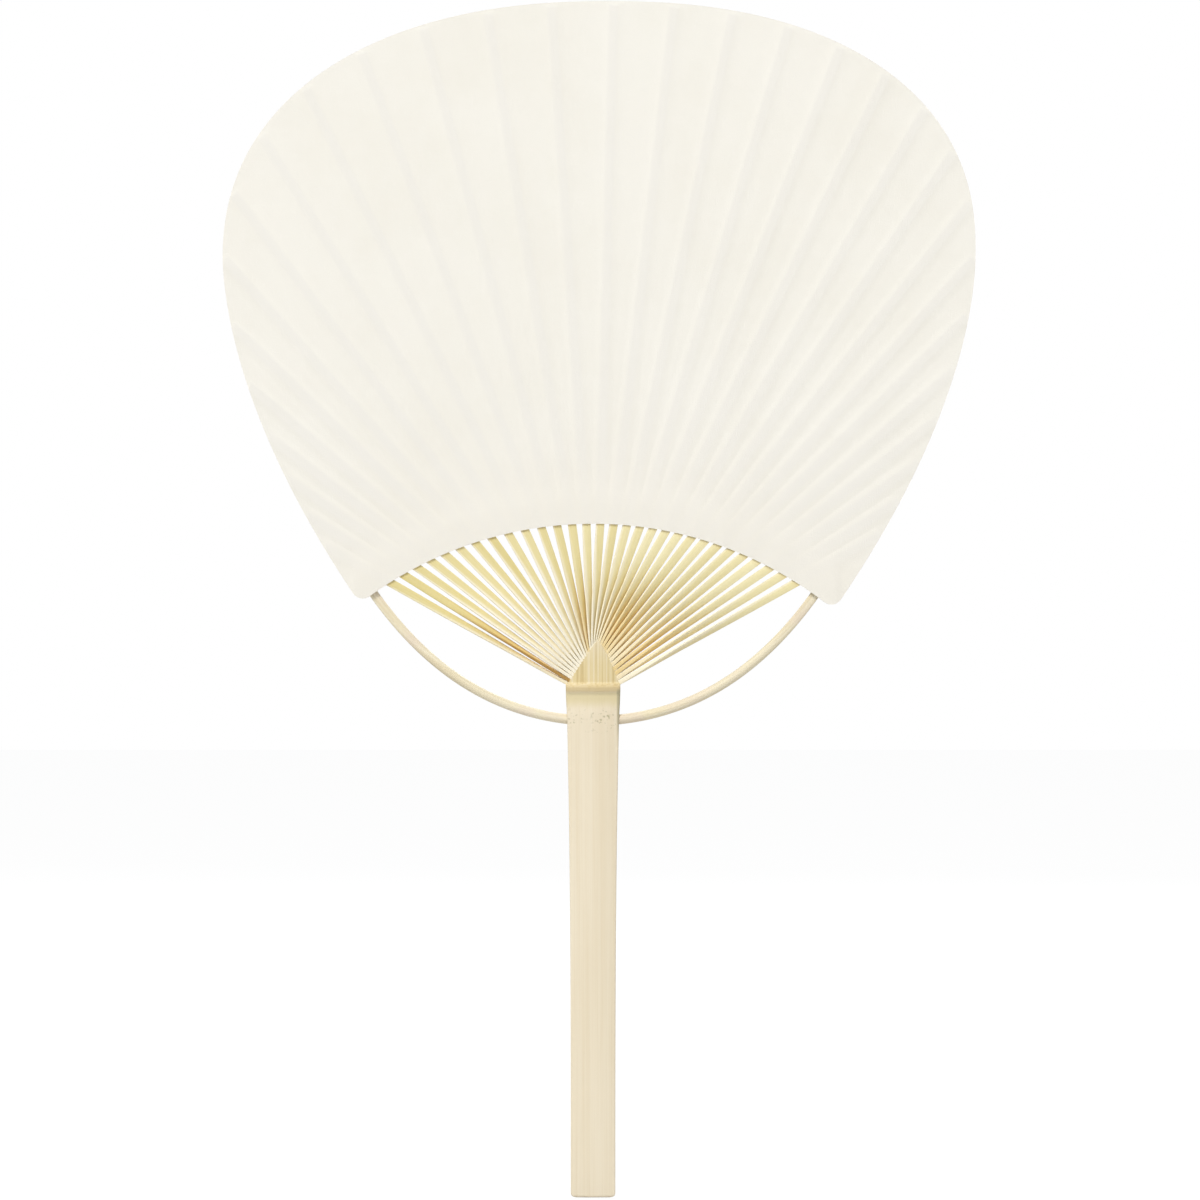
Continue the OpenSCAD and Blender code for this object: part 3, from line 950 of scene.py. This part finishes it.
@dataclass
class Handle:
    """Flat handle, split at its head, from butt to the tip of the tongue.

    The spans are heights over the node in millimetres, over which a form begins or ends.
    """

    splints: SplintLayout
    bow: Bow
    butt_w: float = 14.2
    neck_w: float = 16.4
    handle_t: float = 5.6
    flare_len: float = 14.0
    butt_r: float = 1.4
    butt_edge: float = 0.6
    crest_out: float = 0.35
    scoop_depth: float = 0.34
    scoop_on: Span = (-9.5, -3.5)
    scoop_off: Span = (-2.6, -1.0)
    crest_on: Span = (-3.0, -0.6)
    step_on: Span = (-0.1, 1.7)
    run_in: float = 7.0
    soft_on: Span = (-16.0, -4.0)
    edge_round: float = 0.5
    head_round: float = 0.35
    flat_points: int = 26
    hole_r: float = 1.8
    cutter_x: float = 15.0

    def half(self, z: Array) -> list[Array]:
        """Left and right edge of the handle at heights above the butt.

        A cubic widening up to the neck, an eased flare up to the node, and the tongue's two
        slopes above it, with the corners of the butt rounded as quarter circles.

        Args:
            z: Heights above the butt.

        Returns:
            The places of the left and of the right edge.
        """
        s = self.splints
        neck_z = s.leaf.node_z - self.flare_len
        body = self.butt_w + (self.neck_w - self.butt_w) * np.clip(z / neck_z, 0, 1) ** 3
        flare = self.neck_w + (s.node_w - self.neck_w) * ramp(z, neck_z, s.leaf.node_z)
        w = np.where(z < neck_z, body, flare) / 2 - rounded(z, self.butt_r)
        up = np.clip(1 - (z - s.tongue_z) / s.tongue_len, 0, 1) ** (1 / s.tongue_pow)
        slopes = [s.tongue_off + (turn.value * s.node_w / 2 - s.tongue_off) * up for turn in Turn]
        return [np.where(z > s.tongue_z, slope, edge) for slope, edge in zip(slopes, (-w, w))]

    def front(self, z: Array) -> Array:
        """Front of the handle on its middle line: skin, hollow, crest of the node, tongue.

        Args:
            z: Heights above the butt.

        Returns:
            Its places along Y.
        """
        h = z - self.splints.leaf.node_z
        scoop = self.scoop_depth * ramp(h, *self.scoop_on) * (1 - ramp(h, *self.scoop_off))
        crest = self.crest_out * ramp(h, *self.crest_on)
        step = (self.handle_t - self.splints.tongue_t) / 2 + self.crest_out
        return scoop - crest + step * ramp(h, *self.step_on) - self.handle_t / 2

    def back(self, z: Array) -> Array:
        """Flat back of the handle, which runs in to the tongue above the hole.

        Args:
            z: Heights above the butt.

        Returns:
            Its places along Y.
        """
        s = self.splints
        share = (z - s.leaf.node_z + self.run_in) / (self.run_in + s.tongue_step)
        return self.handle_t / 2 + (s.tongue_t - self.handle_t) / 2 * np.clip(share, 0, 1)

    def heights(self) -> Array:
        """Heights of the rings, close together at the butt, the node and the tongue's tip.

        Returns:
            The heights above the butt.
        """
        s = self.splints
        node_z, foot, long = s.leaf.node_z, s.tongue_z, s.tongue_len
        return np.unique(np.concatenate([
            [0.0, 0.12, 0.3, 0.55, 0.85, 1.2, 1.6, 2.2], np.linspace(3, node_z - 14, 60),
            np.linspace(node_z - 14, node_z - 4, 30), np.linspace(node_z - 4, foot + 1.5, 40),
            foot + long - long * np.linspace(0.88, 0.03, 30) ** 1.3, [foot + long - 0.1]]))

    def build(self) -> Piece:
        """Build the handle as rings with rounded corners, then bore the bow's hole.

        Each ring goes round a rectangle with four quarter-round corners. Its front side is bowed
        like the skin of the culm. For each of its points, e says how far across it is, m whether
        it is at the front or the back, and nx and ny where it stands on the corner's circle.

        Returns:
            The handle.
        """
        s = self.splints
        z = self.heights()
        left, right = self.half(z)
        width = right - left
        head = ramp(z - s.leaf.node_z, *self.soft_on) * (1 - ramp(z - s.tongue_z, -0.5, 0.5))
        arc = np.linspace(0, QUARTER, 5)
        bend = np.concatenate([arc[1:] - QUARTER, arc[:-1]])
        flat, none = np.linspace(-1, 1, self.flat_points), np.zeros(self.flat_points)
        over = np.repeat([0, 1], 4)
        e = np.concatenate([flat, np.ones(8), flat[::-1], -np.ones(8)])
        m = np.concatenate([none, over, none + 1, 1 - over])
        nx = np.concatenate([none, np.cos(bend), none, np.cos(bend + math.pi)])
        ny = np.concatenate([none - 1, np.sin(bend), none + 1, np.sin(bend + math.pi)])
        shrink = rounded(z, self.butt_edge)[:, None]
        r = np.minimum(self.edge_round + self.head_round * head, width * 0.35)[:, None]
        wide = (width / 2)[:, None]
        x = ((left + right) / 2)[:, None] + e * (wide - r - shrink * 0.6) + r * nx
        front = self.front(z)[:, None] + s.sag(e * wide) + shrink
        back = self.back(z)[:, None] - shrink
        y = (1 - m) * (front + r) + m * (back - r) + r * ny
        rings = np.stack([x, y, np.broadcast_to(z[:, None], x.shape)], -1)
        piece = tube("handle_bamboo_body", rings, z, None, 50.0)
        self.bore(piece)
        return piece

    def bore(self, piece: Piece) -> None:
        """Cut the round hole for the bow through the handle from side to side.

        Args:
            piece: The handle.
        """
        a = circle(64)
        ring = np.stack([0 * a, self.bow.bow_back + self.hole_r * np.cos(a),
                         self.bow.hole_z + self.hole_r * np.sin(a)], -1)
        rings = np.stack([ring + np.array([x, 0, 0]) for x in (-self.cutter_x, self.cutter_x)])
        cutter = tube("cutter", rings, np.array([0.0, 2 * self.cutter_x]))
        cut = piece.modifiers.new("hole", "BOOLEAN")
        cut.object = cutter
        cut.operation = "DIFFERENCE"
        cut.solver = "EXACT"
        seen = bpy.context.evaluated_depsgraph_get()
        done = bpy.data.meshes.new_from_object(piece.evaluated_get(seen))
        piece.modifiers.clear()
        old = piece.data
        piece.data = done
        done.name = piece.name
        bpy.data.meshes.remove(old)
        bpy.data.objects.remove(cutter)


@dataclass
class Splints:
    """The fine splints: on edge on the tongue, turned flat, and up between the papers."""

    layout: SplintLayout
    corner: float = 0.1
    root_fill: float = 0.95
    root_sink: float = 0.7
    root_play: float = 0.1
    top_play: float = 0.6
    twist_pow: float = 0.75
    bare_rings: int = 34
    flat_rings: int = 25
    uv_shift: float = 37.0
    seed: int = 7
    tone_mid: float = 0.55
    tone_drift: float = 0.35
    tone_spread: float = 0.18
    # place, width and height of each bell of painted root shade
    bells: tuple[Triple, ...] = ((-0.2, 0.5, 0.5), (1.0, 0.45, 1.6), (11.8, 1.1, 1.0),
                                 (20.6, 3.6, 0.9), (26.6, 1.6, 1.0))

    def section(self, thick: Array, wide: Array) -> tuple[Array, Array]:
        """Rounded rectangle of 12 points for each ring: across its thickness and across its width.

        Args:
            thick: Thickness of each ring.
            wide: Width of each ring.

        Returns:
            Offsets along the thickness and along the width.
        """
        r = self.corner
        ang = ((QUARTER * np.arange(4))[:, None] + np.linspace(0, QUARTER, 3)).ravel()
        cx, cy = np.repeat([[1, -1, -1, 1], [1, 1, -1, -1]], 3, axis=1)
        return (cx * (thick[:, None] / 2 - r) + r * np.cos(ang),
                cy * (wide[:, None] / 2 - r) + r * np.sin(ang))

    def root_shade_levels(self) -> Array:
        """How much painted brown shade each splint has at its root, where the splints crowd: a sum
        of bells over the five darker groups.

        Returns:
            Near 0 for the palest, 1 for the brownest, and up to 1.6 where a painted shadow line
            falls on an edge.
        """
        i = np.arange(self.layout.count)
        right = 0.16 * (i > 14)
        bells = sum(high * np.exp(-((i - at) / wide) ** 2) for at, wide, high in self.bells)
        return np.minimum(1.6, 0.08 + right + bells)

    def build_one(self, i: int, tone: Array, root_shade: Array) -> Piece:
        """Build one splint.

        The bare stretch runs straight from the tongue to the lower edge of the leaf while it
        makes a quarter turn, faster near the tongue. The covered stretch runs flat along the
        splint's line.

        Args:
            i: Number of the splint, from the left.
            tone: How yellow it is.
            root_shade: How much painted brown shade its root has.

        Returns:
            The splint.
        """
        s = self.layout
        root, aim, a = s.roots[i], s.aims[i], s.dirs[i]
        way = s.feet[i] - root
        t = np.concatenate([[-self.root_sink / np.hypot(*way)], np.linspace(0, 1, self.bare_rings)])
        low = s.leaf.arc_reach(aim, a, s.leaf.edge_r)
        up = np.linspace(low, s.tops[i] - self.top_play, self.flat_rings + 1)[1:]
        c = np.concatenate([root + way * t[:, None], aim + along(a) * up[:, None]])
        tt = np.clip(np.concatenate([t, np.ones(len(up))]), 0, 1)
        direction = np.concatenate([np.full(len(t), math.atan2(*way)), np.full(len(up), a)])
        fade = np.clip(1 - 3 * tt, 0, 1)
        thick = s.rib_t + (s.room[i] * self.root_fill - s.rib_t) * fade
        sag = float(s.sag(root[0])) * (1 - tt)
        start = s.tongue_t - self.root_play
        wide = start + (s.rib_w - start) * tt - sag
        turn = (-QUARTER * tt ** self.twist_pow)[:, None]
        p, q = self.section(thick, wide)
        u = np.insert(side(direction), 1, 0.0, axis=-1)
        y = np.array([0.0, 1.0, 0.0])
        across = u * np.cos(turn) + y * np.sin(turn)
        broad = y * np.cos(turn) - u * np.sin(turn)
        middle = np.stack([c[:, 0], sag / 2, c[:, 1]], -1)
        rings = middle[:, None] + across[:, None] * p[..., None] + broad[:, None] * q[..., None]
        values = {"tone": tone, "root_shade": root_shade, "reach": tt[:, None], "cross": q / wide[:, None]}
        return tube(f"splint_{i + 1:02d}", rings, travelled(c) + self.uv_shift * i, values)

    def build(self, material: Material) -> None:
        """Build and dress every splint, each a little paler or yellower than the next.

        Args:
            material: The splints' material.
        """
        count = self.layout.count
        rng = np.random.default_rng(self.seed)
        drift = self.tone_mid - self.tone_drift * np.linspace(-1, 1, count)
        tones = np.clip(drift + rng.normal(0, self.tone_spread, count), 0, 1)
        for i, (tone, root_shade) in enumerate(zip(tones, self.root_shade_levels())):
            dress(self.build_one(i, tone, root_shade), material, [f"rib_{i + 1:02d}"])


@dataclass
class WeavingThread:
    """Thread lashed round both tips of the bow and woven over and under the splints."""

    bow: Bow
    inset: float = 6.0
    lash_turns: int = 3
    lash_pitch: float = 0.75
    turn_steps: int = 24
    cut: float = 0.2
    sides: int = 10

    @property
    def weave_r(self) -> float:
        """Radius of the arc that the thread follows."""
        return self.bow.splints.leaf.edge_r + self.inset

    @property
    def off(self) -> float:
        """Distance of the thread's middle from what it lies on."""
        return self.bow.thread_d / 2 + self.bow.play

    def lashing(self, turn: Turn) -> Array:
        """Points of the lashing: a helix round a tip of the bow that ends in front of it.

        Args:
            turn: Which tip.

        Returns:
            The points, in order.
        """
        b = self.bow
        base = b.axis(turn, np.zeros(1))
        at = b.splints.leaf.arc_reach(base, np.array([turn.value * b.tip_turn]), self.weave_r)
        k = np.arange(self.lash_turns * self.turn_steps + 1) / self.turn_steps
        a = 2 * math.pi * k - QUARTER
        c = b.axis(turn, at + self.lash_pitch * (k - self.lash_turns / 2))
        d = (b.tip_w / 2 + self.off) * np.cos(a)
        return np.stack([c[:, 0] - turn.value * math.cos(b.tip_turn) * d,
                         b.tip_y + (b.tip_t / 2 + self.off) * np.sin(a),
                         c[:, 1] + math.sin(b.tip_turn) * d], -1)

    def weave(self) -> Array:
        """Points of the weave: at each side of each splint, in front of it or behind it.

        Returns:
            The points, from left to right.
        """
        s, r = self.bow.splints, self.weave_r
        p = s.aims + s.leaf.arc_reach(s.aims, s.dirs, r)[:, None] * along(s.dirs)
        turn = s.leaf.bearing(*p.T)
        half = (s.rib_w / 2 + self.off) / np.cos(s.dirs - turn) / r
        i = np.arange(s.count)
        y = np.where((i % 2 == 0) | (i == s.count - 1), 1, -1) * (s.rib_t / 2 + self.off)
        both = np.stack([turn - half, turn + half], -1).ravel()[1:-1]
        y = np.repeat(y, 2)[1:-1]
        return np.stack([r * np.sin(both), y, s.leaf.arc_z + r * np.cos(both)], -1)

    def build(self) -> Piece:
        """Build the thread: corners cut twice by fifths, then rings of points round the path.

        Returns:
            The thread.
        """
        left, right = (self.lashing(turn) for turn in Turn)
        path = np.concatenate([left, self.weave(), right[::-1]])
        q = np.array([[self.cut], [1 - self.cut]])
        for _ in range(2):
            cut = path[:-1, None] * (1 - q) + path[1:, None] * q
            path = np.concatenate([path[:1], cut.reshape(-1, 3), path[-1:]])
        t = unit(np.gradient(path, axis=0))
        out = path - np.array([0, 0, self.bow.splints.leaf.arc_z])
        out[:, 1] = 0
        u = unit(out - (out * t).sum(axis=1, keepdims=True) * t)
        a = circle(self.sides)[:, None]
        ring = u[:, None] * np.cos(a) + np.cross(t, u)[:, None] * np.sin(a)
        rings = path[:, None] + self.bow.thread_d / 2 * ring
        return tube("weaving_cotton", rings, travelled(path), None, 80.0)


@dataclass
class Paper:
    """One pasted sheet, drawn down over the splints, the thread and, at the back, the bow's tips.

    The spans are distances in millimetres over which a form falls away or the painted shade along
    the splints sets in.
    """

    face: Face
    splints: SplintLayout
    thread: WeavingThread
    paper_t: float = 0.2
    paste_gap: float = 0.03
    slope_w: float = 2.5
    ridge_flat: float = 0.9
    ridge_up: float = 0.02
    sink: Span = (0.5, 0.35)
    sink_on: Span = (8.0, 68.0)
    ridge_end: Span = (0.1, 1.6)
    shade_side: Span = (-0.3, 1.4)
    shade_on: Span = (6.0, 31.0)
    thread_side: Span = (0.35, 8.35)
    thread_end: float = 3.0
    thread_foot: float = 0.15
    thread_under: float = 0.1
    mound_side: Span = (2.1, 6.1)
    mound_ends: Span = (-2.0, 21.3)
    ripple_h: float = 0.012
    ripple_count: int = 14
    ripple_pitch: float = 0.16
    seed: int = 3
    columns_off: tuple[float, ...] = (0.45, 0.9, 1.15, 1.4, 1.65, 1.9, 2.1)
    low_rows: tuple[float, ...] = (0, 0.2, 0.6, 1.3, 2.2, 3.1, 3.8, 4.4, 4.9, 5.3, 5.7, 6.0, 6.3,
                                   6.7, 7.1, 7.6, 8.2, 9.0, 10.2, 12, 14, 16, 18, 20, 22, 24, 27)
    rim_rows: tuple[float, ...] = (3.2, 2.5, 1.9, 1.4, 0.9, 0.45, 0.15, 0.0)
    plain_rows: int = 15
    row_least: float = 0.01

    def columns(self) -> tuple[Array, Array]:
        """Base points and directions of the sheet's columns.

        Near a splint the columns run beside its middle line. Between two splints they turn
        evenly from one to the next, and past the outer ones they turn to the rounded corners.

        Returns:
            K by 2 base points and K directions.
        """
        s = self.splints
        off = np.array(self.columns_off)
        off = np.concatenate([-off[::-1], [0.0], off])[:, None]
        base = s.aims[:, None] + off * side(s.dirs)[:, None]
        turn = np.broadcast_to(s.dirs[:, None, None], (*base.shape[:2], 1))
        both = np.concatenate([base, turn], -1)
        q = np.linspace(0, 1, 9)[1:-1, None]
        between = both[:-1, -1:] * (1 - q) + both[1:, :1] * q
        lines = np.concatenate([*np.concatenate([both[:-1], between], axis=1), both[-1]])
        lines = np.concatenate([self.corner(lines[0], Turn.LEFT)[::-1], lines,
                                self.corner(lines[-1], Turn.RIGHT)])
        return lines[:, :2], lines[:, 2]

    def corner(self, line: Array, way: Turn) -> Array:
        """Columns from an outer splint to where a line only just touches the rounded corner.

        Args:
            line: Base point and direction of the outermost column.
            way: Which corner.

        Returns:
            Base points and directions, outwards.
        """
        leaf, start = self.splints.leaf, line[2]
        turns = start + way.value * np.linspace(0, 0.35, 1400)
        enter, leave = leaf.span(np.broadcast_to(line[:2], (len(turns), 2)), turns, leaf.corner_r)
        last = turns[np.flatnonzero(leave - enter > 0.15)[-1]]
        a = start + (last - start) * np.sin(np.linspace(0, QUARTER, 21)[1:])
        return np.column_stack([np.broadcast_to(line[:2], (len(a), 2)), a])

    def rows(self, base: Array, a: Array) -> Array:
        """Distances of the rows along each column.

        The lower rows follow arcs beside the lower edge, close together round the thread, and
        the last ones follow the rim. On short columns both give way to even steps.

        Args:
            base: K by 2 base points.
            a: K directions.

        Returns:
            K by R distances.
        """
        leaf = self.splints.leaf
        low, high = (end[:, None] for end in leaf.span(base, a, leaf.corner_r))
        lower, upper = len(self.low_rows), len(self.rim_rows)
        count = lower + self.plain_rows + upper
        even = low + (high - low) * np.arange(count) / (count - 1)
        arcs = np.stack([leaf.arc_reach(base, a, leaf.edge_r + m) for m in self.low_rows], -1)
        arcs[:, :1] = low
        least = low + self.row_least * np.arange(lower)
        first = np.minimum(np.maximum(arcs, least), even[:, :lower])
        final = np.maximum(high - np.array(self.rim_rows), even[:, -upper:])
        q = (np.arange(self.plain_rows) + 1) / (self.plain_rows + 1)
        return np.concatenate([first, first[:, -1:] * (1 - q) + final[:, :1] * q, final], axis=1)

    def room(self, x: Array, z: Array) -> tuple[Array, Array]:
        """Height of the sheet's inner face over the middle plane, and the share of painted shade
        along each splint.

        The largest of: a floor that sinks to the paste gap where the splints stand far apart, a
        flat ridge with eased slopes over each splint, a wide eased band over the thread, and at
        the back an eased mound over each tip of the bow. A slow ripple is added.

        Args:
            x: Places across.
            z: Heights above the butt.

        Returns:
            The heights, never negative, and the painted shade share, 1 over the middle of a splint
            and 0 beside it.
        """
        s, b, leaf = self.splints, self.thread.bow, self.splints.leaf
        rib_room = s.rib_t / 2 + self.paste_gap + self.ridge_up
        above = leaf.above(x, z)
        near_sink, far_sink = self.sink
        depth = (rib_room - self.paste_gap) * (near_sink + far_sink * ramp(above, *self.sink_on))
        best = rib_room - depth
        shade = np.zeros_like(x)
        for aim, a, top in zip(s.aims, s.dirs, s.tops):
            d, u = along(a), side(a)
            px, pz = x - aim[0], z - aim[1]
            off = np.abs(px * u[0] + pz * u[1]) - self.ridge_flat
            end = 1 - ramp(px * d[0] + pz * d[1] - top, *self.ridge_end)
            # painted shade: a soft band along each splint, weaker towards the lower edge, for the
            # paper's colour
            shade = np.maximum(shade, (1 - ramp(off, *self.shade_side)) * end)
            best = np.maximum(best, rib_room - depth * (1 - (1 - ramp(off, 0, self.slope_w)) * end))
        best = best + np.maximum(self.over_thread(x, z) - best, 0) * self.near_thread(x, above)
        if self.face is Face.BACK:
            high = b.tip_y + b.tip_t / 2 + b.thread_d + 2 * b.play + self.paste_gap
            for turn in Turn:
                p, q = b.axis(turn, np.array(self.mound_ends))
                d = q - p
                t = np.clip(((x - p[0]) * d[0] + (z - p[1]) * d[1]) / (d @ d), 0, 1)
                gap = np.hypot(x - p[0] - t * d[0], z - p[1] - t * d[1])
                best = np.maximum(best, high * (1 - ramp(gap, *self.mound_side)))
        rng = np.random.default_rng(self.seed + self.face.value)
        ripple = np.zeros_like(x)
        for _ in range(self.ripple_count):
            k = rng.normal(0, self.ripple_pitch, 2)
            ripple += np.sin(k[0] * x + k[1] * z + rng.uniform(0, 2 * math.pi))
        return (best + self.ripple_h * np.clip(ripple + 3.0, 0, None),
                shade * (0.3 + 0.7 * ramp(above, *self.shade_on)))

    def over_thread(self, x: Array, z: Array) -> Array:
        """Height that clears the thread: more at the splints where it passes on this face.

        Args:
            x: Places across.
            z: Heights above the butt.

        Returns:
            The heights over the middle plane.
        """
        s, b = self.splints, self.thread.bow
        over = s.rib_t / 2 + b.thread_d + b.play + self.paste_gap
        odd = np.arange(s.count) % 2
        odd[-1] = 0
        under = 1 - odd if self.face is Face.FRONT else odd
        turn = s.leaf.bearing(*s.feet.T)
        return np.interp(s.leaf.bearing(x, z), turn, over - self.thread_under * under)

    def near_thread(self, x: Array, above: Array) -> Array:
        """How much of the thread's height the sheet takes: all over it, and most of it below it.

        Args:
            x: Places across.
            above: Distances over the lower edge.

        Returns:
            Shares from 0 to 1.
        """
        b = self.thread.bow
        r = above - self.thread.inset
        out = np.abs(x - b.bow_off) - b.reach_x - self.thread.inset
        near = 1 - np.where(r < 0, self.thread_foot, 1.0) * ramp(np.abs(r), *self.thread_side)
        return near * (1 - ramp(out, 0, self.thread_end))

    def build(self) -> Piece:
        """Build the sheet: an inner face, an outer face a paper's thickness off it, and the rim.

        Returns:
            The sheet.
        """
        base, a = self.columns()
        reach, d = self.rows(base, a), along(a)
        x = base[:, :1] + d[:, :1] * reach
        z = base[:, 1:] + d[:, 1:] * reach
        lift, shade = self.room(x, z)
        points = np.concatenate([np.stack([x, self.face.value * y, z], -1).reshape(-1, 3)
                                 for y in (lift, lift + self.paper_t)])
        at = np.arange(x.size).reshape(x.shape)
        cell = np.stack([at[:-1, :-1], at[1:, :-1], at[1:, 1:], at[:-1, 1:]], -1).reshape(-1, 4)
        loop = np.concatenate([at[:-1, 0], at[-1, :-1], at[:0:-1, -1], at[0, :0:-1]])
        ahead = np.roll(loop, -1)
        rim = np.stack([loop, loop + x.size, ahead + x.size, ahead], -1)
        quads = np.concatenate([cell, cell[:, ::-1] + x.size, rim])
        if self.face is Face.FRONT:
            quads = quads[:, ::-1]
        values = {"reach": np.tile(self.splints.leaf.above(x, z).ravel(), 2) * MM,
                  "shade": np.tile(shade.ravel(), 2)}
        return make_mesh(f"washi_{self.face.name.lower()}", points, quads, [], None, values, 60.0)


# The picture


@dataclass(frozen=True)
class Lamp:
    """A square soft lamp: its place and side in metres, its power in watts and its colour."""

    name: str
    place: Triple
    size: float
    power: float
    colour: Triple

    def hang(self, target: Triple) -> None:
        """Add the lamp so that it faces a target.

        Args:
            target: The point, in metres.
        """
        data = bpy.data.lights.new(self.name, "AREA")
        data.size = self.size
        data.energy = self.power
        data.color = self.colour
        light = add(self.name, data)
        aim = unit(np.array(target) - np.array(self.place))
        light.location = self.place
        light.rotation_euler = (math.acos(-aim[2]), 0.0, math.atan2(aim[1], aim[0]) - QUARTER)


@dataclass
class Studio:
    """Camera at the photograph's view, soft light, pale floor and white surroundings."""

    view_w: float = 0.3825
    distance: float = 3.0
    sensor: float = 36.0
    centre_x: float = 0.0022
    centre_z: float = 0.1103
    floor_z: float = -0.0806
    floor_half: Span = (6.0, 9.0)
    even: float = 0.435
    sky: Triple = (0.965, 0.985, 1.0)
    lamps: tuple[Lamp, ...] = (Lamp("key", (-1.2, -2.6, 3.2), 1.5, 113.0, (1.0, 0.985, 0.955)),
                               Lamp("fill", (1.2, -1.8, 0.3), 1.6, 4.0, (0.97, 0.985, 1.0)),
                               Lamp("rear", (0.9, 2.2, 1.6), 1.6, 38.0, (1.0, 0.99, 0.97)))

    def camera(self) -> None:
        """Place a long-lens camera straight in front of the fan."""
        data = bpy.data.cameras.new("camera")
        data.sensor_fit = "HORIZONTAL"
        data.sensor_width = self.sensor
        data.lens = self.sensor * self.distance / self.view_w
        data.clip_end = 50.0
        seen = add("camera", data)
        seen.location = (self.centre_x, -self.distance, self.centre_z)
        seen.rotation_euler = (QUARTER, 0.0, 0.0)
        bpy.context.scene.camera = seen

    def floor(self) -> None:
        """Lay the pale floor just under the butt of the handle."""
        x, y = self.floor_half
        corners = [(-x, -y, self.floor_z), (x, -y, self.floor_z), (x, y, self.floor_z),
                   (-x, y, self.floor_z)]
        mesh = bpy.data.meshes.new("floor")
        mesh.from_pydata(corners, [], [(0, 1, 2, 3)])
        mesh.materials.append(PaleFloor().build())
        plane = add("floor", mesh)

    def world(self) -> None:
        """Light everything evenly, and show white where a ray meets nothing."""
        g = Graph("surroundings", True)
        bpy.context.scene.world = g.owner
        through = g.ray("Is Glossy Ray") + g.ray("Is Transmission Ray")
        seen = g.node("ShaderNodeMath", {"operation": "ADD", "use_clamp": True},
                      {0: g.ray("Is Camera Ray"), 1: through})
        even = g.node("ShaderNodeBackground", {},
                      {"Color": (*self.sky, 1.0), "Strength": self.even})
        white = g.node("ShaderNodeBackground", {}, {"Color": (1.0, 1.0, 1.0, 1.0)})
        g.close(g.node("ShaderNodeMixShader", {}, {0: seen, 1: even, 2: white}))

    def build(self) -> None:
        """Set up the camera, the lamps, the floor and the surroundings."""
        self.camera()
        for lamp in self.lamps:
            lamp.hang((self.centre_x, 0.0, self.centre_z))
        self.floor()
        self.world()
        bpy.context.scene.view_settings.view_transform = "Standard"


def main() -> None:
    """Build the studio and every piece of the fan in order."""
    logging.basicConfig(level=logging.INFO, format="%(name)s: %(message)s")
    Studio().build()
    layout = SplintLayout(LeafOutline())
    bow = Bow(layout)
    thread = WeavingThread(bow)
    dress(Handle(layout, bow).build(), BambooSkin().build(), ["handle"])
    Splints(layout).build(SplitBamboo().build())
    dress(bow.build(), BowBamboo().build(), ["bow"])
    dress(thread.build(), CottonThread().build(), ["weaving_thread"])
    washi = Washi().build()
    for face, node in ((Face.FRONT, "front_paper"), (Face.BACK, "back_paper")):
        dress(Paper(face, layout, thread).build(), washi, [node])


if __name__ == "__main__":
    main()
